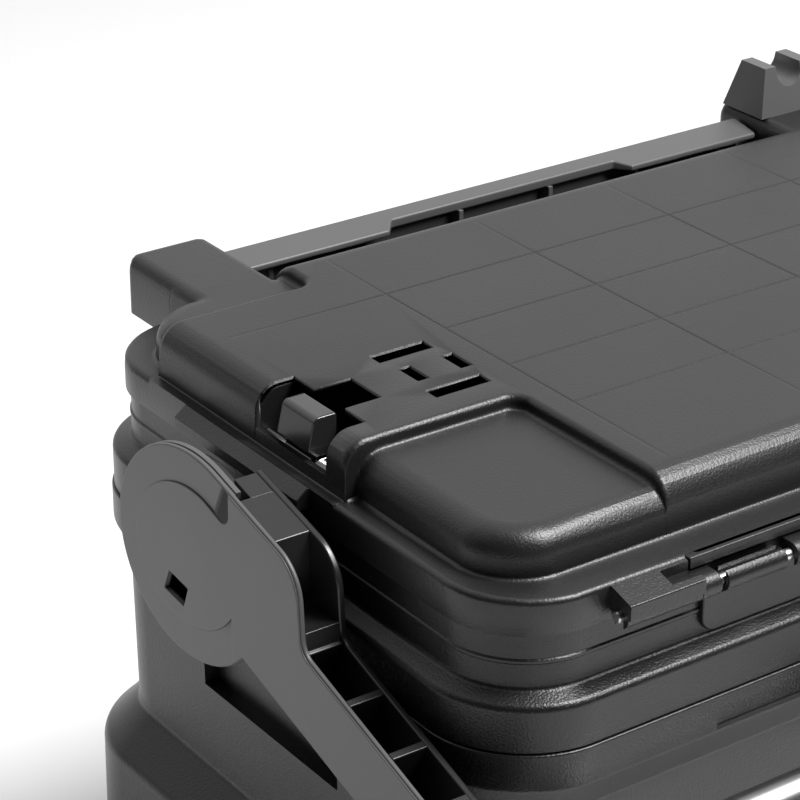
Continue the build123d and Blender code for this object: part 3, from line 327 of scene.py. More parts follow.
def plastic(name, colour, rough, grain=0.0, grain_size=1.2, coat=0.0, change=0.08):
    """Moulded plastic with a grain of fine noise, of depth and size in millimetres, and slow changes
    of tone and gloss"""
    material = bpy.data.materials.new(name + "_finish")
    FINISHES[name] = material
    material.use_nodes = True
    nodes, links = material.node_tree.nodes, material.node_tree.links
    shader = nodes["Principled BSDF"]
    if coat:
        shader.inputs["Coat Weight"].default_value = coat
        shader.inputs["Coat Roughness"].default_value = COAT_ROUGH
    place = nodes.new("ShaderNodeTexCoord")
    slow = nodes.new("ShaderNodeTexNoise")
    slow.inputs["Scale"].default_value = SLOW_SCALE
    slow.inputs["Detail"].default_value = SLOW_DETAIL
    links.new(place.outputs["Object"], slow.inputs["Vector"])
    tone = nodes.new("ShaderNodeMapRange")
    tone.inputs["To Min"].default_value = rough - GLOSS_FALL
    tone.inputs["To Max"].default_value = rough + GLOSS_RISE
    links.new(slow.outputs["Fac"], tone.inputs["Value"])
    links.new(tone.outputs["Result"], shader.inputs["Roughness"])
    shade = nodes.new("ShaderNodeMix")
    shade.data_type = "RGBA"
    shade.inputs["A"].default_value = (*[c * (1 - change) for c in colour], 1)
    shade.inputs["B"].default_value = (*[c * (1 + change) for c in colour], 1)
    links.new(slow.outputs["Fac"], shade.inputs["Factor"])
    links.new(shade.outputs["Result"], shader.inputs["Base Color"])
    if grain:
        pebble = nodes.new("ShaderNodeTexNoise")
        pebble.inputs["Scale"].default_value = 1000.0 / grain_size
        pebble.inputs["Detail"].default_value = 1.0
        links.new(place.outputs["Object"], pebble.inputs["Vector"])
        bump = nodes.new("ShaderNodeBump")
        bump.inputs["Strength"].default_value = 1.0
        bump.inputs["Distance"].default_value = grain * MM
        links.new(pebble.outputs["Fac"], bump.inputs["Height"])
        links.new(bump.outputs["Normal"], shader.inputs["Normal"])
    return material


def metal(name, colour, rough):
    """Bright plated steel with slow changes of tone and gloss"""
    material = plastic(name, colour, rough)
    shader = material.node_tree.nodes["Principled BSDF"]
    shader.inputs["Metallic"].default_value = 1.0
    return material


# Settings

class LidSettings(bpy.types.PropertyGroup):
    """Sizes of the lid that a user would change"""

    panel_edge: bpy.props.FloatProperty(
        name="Panel edge", description="Radius along the edge of the seat panel",
        default=14 * MM, unit="LENGTH")
    end_edge: bpy.props.FloatProperty(
        name="End edge", description="Radius along the ends of the seat panel",
        default=11 * MM, unit="LENGTH")
    pad_edge: bpy.props.FloatProperty(
        name="Pad edge", description="Radius along the outer edge of the corner pads",
        default=12 * MM, unit="LENGTH")
    step_edge: bpy.props.FloatProperty(
        name="Step edge", description="Radius of the step from panel to pad",
        default=3 * MM, unit="LENGTH")
    groove_depth: bpy.props.FloatProperty(
        name="Groove depth", description="Depth of the grid lines in the seat",
        default=0.35 * MM, unit="LENGTH")


class HandleSettings(bpy.types.PropertyGroup):
    """Sizes of the handle arms that a user would change"""

    plate_edge: bpy.props.FloatProperty(
        name="Plate edge", description="Radius along the edge of the hub plate",
        default=0.9 * MM, unit="LENGTH")
    band_depth: bpy.props.FloatProperty(
        name="Band depth", description="Depth of the sunk band round the hub",
        default=0.8 * MM, unit="LENGTH")


class FinishSettings(bpy.types.PropertyGroup):
    """Colours of the plastics and the floor"""

    lid: bpy.props.FloatVectorProperty(
        name="Lid", description="Colour of the lid",
        default=(0.009, 0.0091, 0.0094), subtype="COLOR", min=0, max=1)
    body: bpy.props.FloatVectorProperty(
        name="Body", description="Colour of the box below the lid",
        default=(0.005, 0.0051, 0.0053), subtype="COLOR", min=0, max=1)
    # Lighter than the lid, partly as the handle's own grey and partly as painted light: it stands in for
    # the floor's light reflected on the arms' outer faces.
    handle: bpy.props.FloatVectorProperty(
        name="Handle", description="Colour of the handle arms and the pull bar",
        default=(0.085, 0.0855, 0.087), subtype="COLOR", min=0, max=1)
    floor: bpy.props.FloatVectorProperty(
        name="Floor", description="Colour of the floor",
        default=(0.93, 0.93, 0.93), subtype="COLOR", min=0, max=1)


# Turning axes, seen along them

PIN = (-156.0, 315.0)
HUB = (29.0, 283.5)
LATCH = (-225.0, 328.0)
LEVER = (166.0, 281.0)


def half_knuckle(way):
    """Hook round the hinge pin: way 1 opens downwards, for the lid, and way -1 upwards, for the base"""
    y, z = PIN
    outer, bore, mouth = 5.0, 2.62, 2.2
    gap, inner = np.degrees(np.arcsin(mouth / outer)), np.degrees(np.arcsin(mouth / bore))
    if way > 0:
        web, start = [(5, 0), (7.5, 0), (7.5, 5), (0, 5)], 90
    else:
        web, start = [(5, 0), (5, 4.4), (9.75, 4.4), (9.75, 13), (-4, 3)], 143
    points = np.concatenate([
        arc((0, 0), outer, gap - 90, 0, 8), web, arc((0, 0), outer, start, 270 - gap, 14),
        arc((0, 0), bore, 270 - inner, inner - 90, 20)])
    points = points * (1, way) + (y, z)
    return free(points if way > 0 else points[::-1], 3.0)


# Lid

HALF_L, HALF_W, END_X = 237.0, 150.0, 231.5
RIM_Z, LEDGE_Z, BAR_Z, PAD_Z, TOP_Z = 311.0, 326.0, 331.6, 344.0, 350.0
WALL = 2.6
DOME_X, DOME_Y, DOME_R = 226.0, 133.0, 27.0
HINGE_PAD = (HALF_L - 89.6, HALF_W - 110.9)
FRONT_PAD = (HALF_L - 83.6, HALF_W - 48.4)

# Corner radii, seen from above, of the lid, its wings and its pads
PLAN_R, WING_R, PAD_R = 38.0, 6.0, 8.0

# Wing: its two sides, its front, and the depth of its skirt
WING = (HALF_L - 82.0, HALF_L - 40.0, HALF_W + 40.0)
WING_SKIRT = 28.0

# Latch window: half width and inner end, then the same of the finger hole
WINDOW = (26.0, HALF_L - 24.7, 11.1, HALF_L - 42.7)

# Long slots: inner end, outer end, distance from the middle, half width
LONG_SLOT = (HALF_L - 87.7, HALF_L - 60.1, 20.0, 4.2)
SHORT_SLOTS = (HALF_L - 66.05, HALF_L - 87.75)
SHORT_SIZE = (3.15, 7.4)

GRID_X = (-134.4, -53.2, 24.4, 99.2)
GRID_Y = (-58.6, -15.6, 28.6, 72.4)
FRONT_LINE_END, GRID_HALF, GROOVE_HALF = -214.0, 118.0, 0.55


def lid_outline():
    """Plan of the lid with its two wings"""
    near, far, out = WING
    return outline(
        [(HALF_L, -HALF_W, 38), (HALF_L, HALF_W, 37.5), (far, HALF_W, 1), (far, out, 6), (near, out, 6),
         (near, HALF_W, 3), (-near, HALF_W, 3), (-near, out, 6), (-far, out, 6), (-far, HALF_W, 1),
         (-HALF_L, HALF_W, 37.5), (-HALF_L, -HALF_W, 38)], 14)


def outline_distance(x, y):
    """Distances out from the lid's plan, and from its wings alone"""
    near, far, out = WING
    plate = box_distance(x, y, HALF_L, HALF_W, PLAN_R)
    wing = box_distance(np.abs(x) - (near + far) / 2, y - out / 2, (far - near) / 2, out / 2, WING_R)
    return np.minimum(plate, wing), wing


def pad_distance(x, y):
    """Distance into the pads at the corners, negative on the raised panel"""
    deep = np.full(np.shape(x), -1e3)
    r = PAD_R
    for (px, py), sign in ((HINGE_PAD, -1), (FRONT_PAD, 1)):
        a, b = px - np.abs(x), py - sign * y
        zone = np.minimum(-r, np.maximum(a, b)) + np.hypot(np.maximum(r + a, 0), np.maximum(r + b, 0))
        deep = np.maximum(deep, -zone)
    return deep


def line_start(place):
    """Left end of a grid line along the seat: the front line runs on past the others"""
    return FRONT_LINE_END if place == GRID_Y[-1] else GRID_X[0]


def groove_share(x, y):
    """Grid lines as a share of their depth: exp of minus (distance / half width) squared"""
    share = np.zeros(np.shape(x))
    for place in GRID_X:
        depth = np.exp(-((x - place) / GROOVE_HALF) ** 2)
        share = np.maximum(share, np.where(np.abs(y) < GRID_HALF, depth, 0))
    for place in GRID_Y:
        depth = np.exp(-((y - place) / GROOVE_HALF) ** 2)
        share = np.maximum(share, np.where((x > line_start(place)) & (x < -GRID_X[0]), depth, 0))
    return share


def lid_height(x, y, lid):
    """Height of the lid: flange, dome and wings, then the panel with its pads, grooves and window bars"""
    edge, wing = outline_distance(x, y)
    flange = RIM_Z + round_over(edge, LEDGE_Z - RIM_Z, 2.6, 0.0)
    dome = box_distance(x, y, DOME_X, DOME_Y, DOME_R)
    dome = round_over(dome, PAD_Z - LEDGE_Z, lid.pad_edge / MM, 2.0)
    side = round_over(wing, PAD_Z - LEDGE_Z, 6.0, 0.6)
    base = flange + np.maximum(dome, np.where(y > 100, side, 0))
    rise = TOP_Z - LEDGE_Z
    long_side = round_over(np.abs(y) - DOME_Y, rise, lid.panel_edge / MM, 2.0)
    end = round_over(np.abs(x) - END_X, rise, lid.end_edge / MM, 1.0, 0.02)
    step = np.maximum(LEDGE_Z + np.minimum(long_side, end) - base, 0)
    z = base + round_over(pad_distance(x, y), step, lid.step_edge / MM, 2.2)
    z = z - groove_share(x, y) * lid.groove_depth / MM
    bar = (np.abs(y) < WINDOW[0] - 0.02) & (np.abs(x) > END_X - WALL - 0.1)
    return np.where(bar, np.minimum(z, BAR_Z), z)


def on_lid(x, y):
    """True on the lid's plan, less its latch windows, finger holes and accessory slots"""
    ax, ay = np.abs(x), np.abs(y)
    half, inner, finger_half, finger_inner = WINDOW
    window = (ay < half) & (ax > inner) & (ax < END_X - WALL)
    finger = (ay < finger_half) & (ax > finger_inner) & (ax <= inner)
    start, stop, middle, reach = LONG_SLOT
    long_slot = (np.abs(ay - middle) < reach) & (ax > start) & (ax < stop)
    length, width = SHORT_SIZE
    near, far = (np.abs(ax - place) < length for place in SHORT_SLOTS)
    short_slot = (ay < width) & (near | far)
    return (outline_distance(x, y)[0] < 0) & ~(window | finger | long_slot | short_slot)


def line(*points):
    """Open line for a net"""
    return np.array(points, float), False


def ring(*points):
    """Closed line for a net"""
    return np.array(points, float), True


def pad_lines(side):
    """Lines along the step round the two pads of one end"""
    lines = []
    for (px, py), front in ((HINGE_PAD, -1), (FRONT_PAD, 1)):
        path, out = rounded([(px, py), (400, py), (400, 400), (px, 400)], [PAD_R, 0.1, 0.1, 0.1], 10)
        path = np.concatenate([[[px, 170.0]], path[:11], [[250.0, py]]])
        out = np.concatenate([[[-1.0, 0.0]], out[:11], [[0.0, -1.0]]])
        for reach in (3.0, 2.2, 1.4, 0.7, 0.2, 0.0, -0.05, -0.4, -1.0, -1.7, -2.4):
            lines.append(((path + reach * out) * (side, front), False))
    return lines


def wing_lines(side):
    """Lines along the rounded edges of one wing, and where it leaves the panel"""
    near, far, out = WING
    lines = []
    for inset in (0.6, 1.8, 3.6, 6.0):
        for x in (near + inset, far - inset):
            lines.append(line((side * x, GRID_HALF), (side * x, out)))
        lines.append(line((side * near, out - inset), (side * far, out - inset)))
    for x in (near, near - 0.7, far, far + 0.7):
        lines.append(line((side * x, GRID_HALF), (side * x, HALF_W)))
    return lines


def grid_lines():
    """Seven lines across each groove of the seat's grid"""
    steps = (-1.3, -0.7, -0.3, 0, 0.3, 0.7, 1.3)
    along = [line((line_start(y), y + s), (-GRID_X[0], y + s)) for y in GRID_Y for s in steps]
    return along + [line((x + s, -GRID_HALF), (x + s, GRID_HALF)) for x in GRID_X for s in steps]


def window_lines(side):
    """Lines round the latch window, its bar and the accessory slots of one end"""
    w, wx, f, fx = WINDOW
    end = END_X - WALL
    lines = []
    for x in (END_X + 0.02, END_X + 0.5, END_X + 1.0, END_X + 1.6):
        lines.append(line((side * x, -60), (side * x, GRID_HALF)))
    window = [(end, -w), (wx, -w), (wx, -f), (fx, -f), (fx, f), (wx, f), (wx, w), (end, w)]
    lines.append((np.array(window) * (side, 1), True))
    for y in (-w, -w + 0.04, w - 0.04, w):
        lines.append(line((side * end, y), (side * (END_X + 0.5), y)))
    lines.append(line((side * END_X, -w), (side * END_X, w)))
    start, stop, middle, reach = LONG_SLOT
    x0, x1 = side * start, side * stop
    for y in (-middle, middle):
        lines.append(ring((x0, y - reach), (x1, y - reach), (x1, y + reach), (x0, y + reach)))
    length, width = SHORT_SIZE
    for place in SHORT_SLOTS:
        x0, x1 = side * (place - length), side * (place + length)
        lines.append(ring((x0, -width), (x1, -width), (x1, width), (x0, width)))
    return lines


def lid_lines():
    """Lines that the lid's net follows: its edges, fillets, steps, grooves and holes"""
    loop, normal = lid_outline()
    lines = [(loop + reach * normal, True) for reach in (0, -0.35, -1.3, -2.6)]
    loop, normal = box_loop(2 * DOME_X, 2 * DOME_Y, DOME_R, 14)
    for reach in (-12, -9.5, -6.5, -4.2, -2.3, -0.9, -0.15, 0, 0.35, 0.55, 1.1, 2.4):
        lines.append((loop + reach * normal, True))
    for side in (-1, 1):
        for inset in (0.0, 0.25, 1.0, 2.3, 4.1, 6.4, 9.0, 11.6, 14.0):
            y = side * (DOME_Y - inset)
            x = side * (END_X - inset * 11 / 14)
            lines.append(line((-160, y), (160, y)))
            lines += [line((x, -50), (x, -WINDOW[0])), line((x, WINDOW[0]), (x, 112))]
        lines += pad_lines(side) + wing_lines(side)
        if side > 0:
            lines += grid_lines()
        lines += window_lines(side)
    return lines


class SEATBOX_OT_lid(bpy.types.Operator):
    """Moulded lid: the sheet of its top, its skirt, and one wall thickness"""

    bl_idname = "seatbox.lid"
    bl_label = "Lid"

    def execute(self, context):
        lid = context.scene.seatbox_lid
        plan, tri = net(lid_lines(), on_lid)
        used = np.unique(tri)
        index = np.full(len(plan), -1)
        index[used] = np.arange(len(used))
        plan, tri = plan[used], index[tri]
        shape = Shape().add(np.column_stack([plan, lid_height(plan[:, 0], plan[:, 1], lid)]), tri)
        edges = rim_edges(tri)
        middle = plan[edges].mean(1)
        skirt = edges[outline_distance(middle[:, 0], middle[:, 1])[0] > -0.5]
        rim = np.unique(skirt)
        low = np.full(len(plan), -1)
        low[rim] = shape.count + np.arange(len(rim))
        foot = np.where(plan[rim, 1] > HALF_W + 0.5, PAD_Z - WING_SKIRT, RIM_Z)
        shape.points.append(np.column_stack([plan[rim], foot]))
        shape.faces += np.stack([skirt[:, 1], skirt[:, 0], low[skirt[:, 0]], low[skirt[:, 1]]], 1).tolist()
        shape.object("lid_moulding", "lid", "lid_plastic", "lid_shell", shell=WALL)
        return {"FINISHED"}


class SEATBOX_OT_lid_fittings(bpy.types.Operator):
    """Half knuckles and flange of the hinge, hub guards, walls of the latch wells, and ribs"""

    bl_idname = "seatbox.lid_fittings"
    bl_label = "Lid Fittings"

    def execute(self, context):
        hinge = Shape().box((-151.2, 151.2), (-152, -147.5), (321, 326), 0.7)
        for centre, half in ((-82.5, 21.25), (0, 21.25), (82.5, 21.25), (-146.45, 4.75), (146.45, 4.75)):
            hinge.plate([half_knuckle(1)], centre - half, centre + half, 0.6, "YZ")
        hinge.object("lid_hinge_half", "lid", "lid_plastic", "lid_shell")
        guard = rounded(
            [(-236.0, 317.4), (-236.0, 326.2), (-238.0, 326.6), (-243.5, 322.4), (-243.5, 317.4)], 0.5, 4)
        fittings = Shape().plate([guard], -70.6, 22.5, 0.6, "XZ")
        wall = outline(
            [(-213, 322, 0.3), (-213, 347.4, 0.3), (-222.5, 347.2, 5), (-229.2, 340, 5),
             (-229.2, 322, 0.3)], 4)
        for start in (-28.5, 26.0):
            fittings.plate([wall], start, start + 2.5, 0.3, "XZ")
        fittings.mirror(both=True)
        for x in (-112.8, -37.6, 37.6, 112.8):
            fittings.box((x - 0.8, x + 0.8), (-118, 118), (340, 347.6), 0.2)
        for y in (-75.2, 0, 75.2):
            fittings.box((-112, 112), (y - 0.8, y + 0.8), (340, 347.6), 0.2)
        fittings.object("lid_fittings", "lid", "lid_plastic", "lid_shell")
        return {"FINISHED"}


# Base

class SEATBOX_OT_rim(bpy.types.Operator):
    """Rim frame: section carried round the box, tray ledge, hub bosses, hinge panel and ears"""

    bl_idname = "seatbox.rim"
    bl_label = "Rim Frame"

    def execute(self, context):
        section, _ = outline(
            [(5.3, 264.2, 0.1), (7, 264.2, 0.8), (7, 284, 3.5), (-1.5, 287.5, 2.5), (-1.9, 297.9, 0.2),
             (-1.3, 298.5, 0.3), (-1.3, 299.7, 0.3), (-2, 300.3, 0.2), (-2, 310.7, 0.8), (-5.5, 310.7, 0.8),
             (-5, 284, 2.5), (3.5, 280.5, 2.5), (3.5, 264.2, 0.5)])
        loop, normal = box_loop(2 * HALF_L, 2 * HALF_W, PLAN_R, 24)
        rim = Shape().carry(loop, normal, section, ring=True)
        rim.carry(loop, normal, [(-12, 268), (5.2, 268), (5.2, 271), (-12, 271)], ring=True)
        rim.object("rim_moulding", "base", "body_plastic", "rim_frame")
        boss = [(-0.5, -232.5), (0, -233), (0, -263.4), (-0.6, -264), (-7.9, -264), (-7.9, -236.6),
                (-3, -236.6), (-3, -232.5)]
        fittings = Shape().carry(*circle(HUB, 19), boss, ring=True, plane="YZ")
        ear = outline([(149, 275, 0.3), (172, 275, 6), (172, 287, 6), (149, 287, 0.3)], 8)
        fittings.plate([ear, circle(LEVER, 2.6, 32, hole=True)], -160.5, -154.5, 0.4, "YZ")
        fittings.mirror(both=True)
        panel = outline([(142, 289, 7), (142, 310.7, 0.6), (-142, 310.7, 0.6), (-142, 289, 7)], 8)
        fittings.plate([panel], 146.5, 150.5, 0.8, "XZ")
        for centre in (-123.75, -41.25, 41.25, 123.75):
            fittings.plate([half_knuckle(-1)], centre - 15, centre + 15, 0.6, "YZ")
        fittings.object("rim_fittings", "base", "body_plastic", "rim_frame")
        return {"FINISHED"}


def bucket_recess(points, reach):
    """Depth of the bucket's recesses: under the hubs, in the long walls and in the hinge side's band"""
    x, y, z = np.moveaxis(points, -1, 0)
    hub = (np.abs(x) > 200) & (y > -40) & (y < 62) & (z > 195) & (z < 231)
    panel = (np.abs(x) < 150) & (z > 165) & (z < 224)
    band = (np.abs(x) < 138) & (y < 0) & (z > 249) & (z < 258) & (reach > 6)
    return np.where(hub, 7.0, np.where(panel | band, 2.0, 0.0))


class SEATBOX_OT_bucket(bpy.types.Operator):
    """Bucket: section carried round the box from the floor to the band, its recesses, ribs and arm rests"""

    bl_idname = "seatbox.bucket"
    bl_label = "Bucket"

    def execute(self, context):
        # The section runs from the floor's underside to its top, and a cap closes each end.
        # Its first corner gives way to the underside's edge.
        steps = 6
        section, _ = outline(
            [(-7, 0.4, 3), (-0.5, 147, 3), (13.5, 134.5, 3), (15, 0, 0.8), (18.5, 0, 1.2), (17, 136, 8),
             (0, 153, 5), (1, 233, 5), (8, 248, 5), (8, 264, 0.8), (4.5, 264, 0.8), (4.5, 249.5, 3),
             (-2.5, 234.5, 4), (-3.5, 153, 4), (-10.5, 4, 3)], steps)
        section = np.concatenate([[[-9.5, 0.4], [-7.0, 2.0]], section[steps + 1:]])
        # Points are added on both sides of each place where a recess begins or ends.
        heights = (164.7, 165.2, 194.7, 195.3, 223.8, 224.3, 230.7, 231.3, 248.7, 249.2, 257.8, 258.3)
        stops = [-150.3, -149.7, -138.3, -137.7, 137.7, 138.3, 149.7, 150.3, *np.linspace(-110, 110, 5)]
        loop, normal = walk(2 * HALF_L, 2 * HALF_W, PLAN_R, stops, (-40.4, -39.8, 0, 61.8, 62.4))
        bucket = Shape().carry(
            loop, normal, levels(section, heights), low_cap=True, high_cap=True, sink=bucket_recess)
        bucket.object("bucket_moulding", "base", "body_plastic", "bucket", sharp=30)
        fittings = Shape()
        for x in (-190, -95, 0, 95, 190):
            for side in ((-165, -144), (144, 165)):
                fittings.box((x - 1.5, x + 1.5), side, (0.5, 132), 0.3)
        for y in (-95, 0, 95):
            for side in ((-252, -231), (231, 252)):
                fittings.box(side, (y - 1.5, y + 1.5), (0.5, 132), 0.3)
        rest = outline([(-107, 219.0, 3), (-107, 233.2, 1), (-125, 227.6, 1), (-125, 213.4, 3)])
        fittings.plate([rest], -262, -235, 0.8, "YZ").plate([rest], 235, 262, 0.8, "YZ")
        fittings.object("bucket_fittings", "base", "body_plastic", "bucket")
        return {"FINISHED"}


# Handle

FACE_X, BACK_X = -270.0, -248.5
OVAL_MID, OVAL_LONG, OVAL_SHORT, OVAL_TURN = np.array([19.4, 287.5]), 56.0, 47.0, np.radians(-17.0)
OVAL_AXES = np.array([[np.cos(OVAL_TURN), np.sin(OVAL_TURN)], [-np.sin(OVAL_TURN), np.cos(OVAL_TURN)]])
TOP_SLOPE, ARM_SLOPE, ARM_DEGREES = np.radians(14.3), np.radians(17.3), 17.3
ALONG = np.array([-np.cos(ARM_SLOPE), -np.sin(ARM_SLOPE)])
ACROSS = np.array([-np.sin(ARM_SLOPE), np.cos(ARM_SLOPE)])
BAR, ARM_HALF = np.array([-184.5, 226.3]), 17.0
SHOULDER, ARMPIT = np.array([-62.5, 316.9]), np.array([-64.8, 282.5])
BAND, BAND_END, WEB_START, RIM_END, POCKET_END = 15.5, -14.0, -6.0, -17.7, -44.0
DRUM = 38.0

# Ribs between the arm's pockets: half thickness, then foot and head as counted from the armpit
RIB_HALF, RIB_LOW, RIB_HIGH = 1.75, -33.4, -0.4


def oval(inset, start, stop, count=90):
    """Arc of the hub's oval drawn in by inset: middle + long * cos t * axis 1 + short * sin t * axis 2"""
    t = np.linspace(start, stop, count)
    wide, tall = OVAL_LONG - inset, OVAL_SHORT - inset
    return OVAL_MID + np.column_stack([wide * np.cos(t), tall * np.sin(t)]) @ OVAL_AXES


def oval_top(inset):
    """Angle at which the oval's tangent runs along the handle's top line"""
    up = OVAL_AXES @ np.array([-np.sin(TOP_SLOPE), np.cos(TOP_SLOPE)])
    return np.arctan2((OVAL_SHORT - inset) * up[1], (OVAL_LONG - inset) * up[0])


def top_line(y, drop=0.0):
    """Height of the handle's top edge, or of a line parallel to it"""
    y = np.asarray(y, float)
    return SHOULDER[1] + (y - SHOULDER[0]) * np.tan(TOP_SLOPE) - drop / np.cos(TOP_SLOPE)


def low_line(y):
    """Height of the arm's lower edge"""
    foot = BAR - ARM_HALF * ACROSS
    return foot[1] + (np.asarray(y, float) - foot[0]) * np.tan(ARM_SLOPE)


def arm_end(radius):
    """Half round end of the arm, about the bar"""
    return arc(BAR, radius, 90 + ARM_DEGREES, 270 + ARM_DEGREES, 20)


def shoulder_line(top):
    """Handle from a point of its top edge round the shoulder and armpit and past the end of the arm"""
    steps = 12
    corners, _ = rounded([top, SHOULDER, ARMPIT, BAR + ARM_HALF * ACROSS], [0.1, 20, 8, 0.1], steps)
    return np.concatenate([corners[steps + 1:3 * (steps + 1)], arm_end(ARM_HALF)])


def plate_outline():
    """Outer plate of the handle: oval hub, shoulder and arm"""
    t = np.linspace(np.pi * 0.95, np.pi * 1.5, 200)
    path = oval(0, t[0], t[-1], 200)
    fall = path[:, 1] - low_line(path[:, 0])
    notch = np.interp(0, -fall, t)
    hub = oval(0, notch, oval_top(0) + 2 * np.pi, 120)
    return np.concatenate([hub, shoulder_line(hub[-1])])


def run_where(loop, chosen, *more):
    """One unbroken run of a closed loop's chosen points, and the same rows of the other arrays"""
    first = np.flatnonzero(chosen & ~np.roll(chosen, 1))[0]
    order = np.roll(np.arange(len(loop)), -first)
    return [rows[order][chosen[order]] for rows in (loop, *more)]


def face_outline(edge):
    """Raised face inside the sunk band: the plate's outline beyond the band's end, then the inner oval"""
    loop, normal = free(plate_outline(), 3.0)
    loop = loop - edge * normal
    outer, = run_where(loop, loop[:, 0] < BAND_END)
    t = np.linspace(np.pi, 2 * np.pi + oval_top(BAND), 200)
    inner = oval(BAND, t[0], t[-1], 200)
    low = np.flatnonzero((inner[:, 0] > BAND_END) & (t > np.pi * 1.05))[0]
    foot = np.array([[BAND_END, outer[-1, 1]], [BAND_END, inner[low, 1]]])
    tip = np.array([BAND_END, top_line(BAND_END, BAND)])
    steps = 8
    corners = [inner[-1], tip, (BAND_END, outer[0, 1]), outer[0] - (5, 0)]
    bend, _ = rounded(corners, [0.1, 5, 0.1, 0.1], steps)
    bend = bend[steps + 1:2 * (steps + 1)]
    return np.concatenate([outer, foot, inner[low:], bend, [[BAND_END, outer[0, 1]]]])


def core_outline():
    """Inner plate: shoulder and arm as far as the web, with the drum round the pivot"""
    half = np.degrees(np.arccos((HUB[0] - WEB_START) / DRUM))
    drum = arc(HUB, DRUM, 180 + half, 540 - half, 80)
    top = np.array([[WEB_START, top_line(WEB_START)]])
    return np.concatenate([[[WEB_START, low_line(WEB_START)]], drum, top, shoulder_line(top[0])])


def arm_point(along, across):
    """Place on the arm, counted from the armpit along it and up across it"""
    return ARMPIT + along * ALONG + across * ACROSS


def strip(start, stop, low, high):
    """Piece of the arm between two places along it and two heights, all counted from the armpit"""
    ends = [arm_point(start, low), arm_point(start, high), arm_point(stop, high), arm_point(stop, low)]
    return rounded(ends, 0.5, 4)


def hub_plate(band, edge):
    """Outer side of a handle arm: raised face, plate and grooved rim, with a key hole in the first two"""
    arm = Shape()
    key = rounded([(37.8, 264.7), (22.8, 262.7), (19.1, 272.4), (33.6, 274.4)], 0.4, 3)
    whole = plate_outline()
    arm.plate([free(face_outline(0.5), 3.0), key], FACE_X, FACE_X + band + 0.05, 0.45, "YZ")
    arm.plate([free(whole), key], FACE_X + band, FACE_X + 3, edge, "YZ")
    loop, normal = free(whole, 3.0)
    outer, out = run_where(loop, loop[:, 0] > RIM_END, normal)
    rim = np.concatenate([outer, (outer - 3 * out)[::-1]])
    arm.plate([free(rim, 3.0)], FACE_X + 3.5, FACE_X + 6, 0.4, "YZ")
    neck = np.concatenate([outer - 0.7 * out, (outer - 2.6 * out)[::-1]])
    return arm.plate([free(neck, 3.0)], FACE_X + 2.9, FACE_X + 3.6, 0.05, "YZ")


def arm_web():
    """Inner side of a handle arm: plate, drum, shoulder block, web, pocket ribs, arm end and pivot"""
    near, far = FACE_X + 2.9, BACK_X - 2.9
    core = Shape().plate([free(core_outline())], BACK_X - 3, BACK_X, 0.8, "YZ")
    core.plate([circle(HUB, DRUM), circle(HUB, DRUM - 3, hole=True)], near, BACK_X - 0.2, 0.6, "YZ")
    block = [
        (RIM_END, low_line(RIM_END) + 0.3), (RIM_END, top_line(RIM_END, 0.3)),
        (POCKET_END, top_line(POCKET_END, 0.3)), (POCKET_END, 290), (-64.0, 290),
        arm_point(0, -0.3), arm_point(RIB_HALF, -0.3), arm_point(RIB_HALF, RIB_LOW)]
    core.plate([rounded(block, [0.3, 0.8, 0.8, 2, 0.3, 0.3, 0.8, 0.3], 4)], near, far, 0.3, "YZ")
    back = RIM_END - 1
    root = rounded(
        [(back, low_line(RIM_END) + 1), (WEB_START, low_line(WEB_START) + 1),
         (WEB_START, top_line(WEB_START, 0.3)), (back, top_line(back, 0.3))], 0.5, 4)
    core.plate([root], FACE_X + 8, far, 0.5, "YZ")
    core.plate([circle((-8.4, top_line(-8.4, 3)), 2.2, 24)], -253.5, far, 0.3, "YZ")
    core.plate([strip(1.5, 87, -33.6, -31)], near, far, 0.3, "YZ")
    for place in (29.5, 59.0):
        core.plate([strip(place - RIB_HALF, place + RIB_HALF, RIB_LOW, RIB_HIGH)], near, far, 0.3, "YZ")
    end = np.concatenate(
        [[arm_point(86.75, RIB_LOW), arm_point(86.75, RIB_HIGH)], arm_end(ARM_HALF + RIB_HIGH)])
    core.plate([free(end)], near, far, 0.3, "YZ")
    return core.plate([circle(HUB, 11, 40)], near, -236.7, 0.5, "YZ")


class SEATBOX_OT_handle(bpy.types.Operator):
    """Handle arms: oval hub plate with its sunk band and grooved rim, web, pockets, ribs and drum"""

    bl_idname = "seatbox.handle"
    bl_label = "Handle"

    def execute(self, context):
        handle = context.scene.seatbox_handle
        for hand in ("left", "right"):
            arm = hub_plate(handle.band_depth / MM, handle.plate_edge / MM)
            core = arm_web()
            if hand == "right":
                arm.mirror()
                core.mirror()
            # The outer plate takes the lighter handle finish and the web its darker copy, which holds
            # painted shade.
            arm.object(f"handle_plate_{hand}", "handle", "arm_plastic", f"handle_arm_{hand}")
            core.object(f"handle_web_{hand}", "handle", "web_plastic", f"handle_arm_{hand}")
        return {"FINISHED"}


# Latches and pull bar

def helix(start, stop, radius, turns, centre, count):
    """Spring line and its outward directions: x = cx + r cos a, y from start to stop, z = cz + r sin a"""
    a = np.linspace(0.5 * np.pi, (2 * turns + 0.5) * np.pi, count)
    out = np.column_stack([np.cos(a), 0 * a, np.sin(a)])
    y = np.linspace(start, stop, count)
    return np.column_stack([centre[0] + radius * out[:, 0], y, centre[1] + radius * out[:, 2]]), out


def tube(path, away, radius, sides=10):
    """Round wire along a path: path + radius * (cos a * away + sin a * across), across square to both"""
    tangent = unit(np.gradient(path, axis=0))
    away = unit(away - (away * tangent).sum(1)[:, None] * tangent)
    across = np.cross(tangent, away)
    a = np.linspace(0, 2 * np.pi, sides, endpoint=False)[None, :, None]
    rings = path[:, None] + radius * (np.cos(a) * away[:, None] + np.sin(a) * across[:, None])
    last = len(path) * sides
    faces = grid_faces(len(path), sides, False, True)[:, ::-1].tolist()
    return Shape().add(rings, faces + [list(range(sides)), list(range(last - 1, last - sides - 1, -1))])


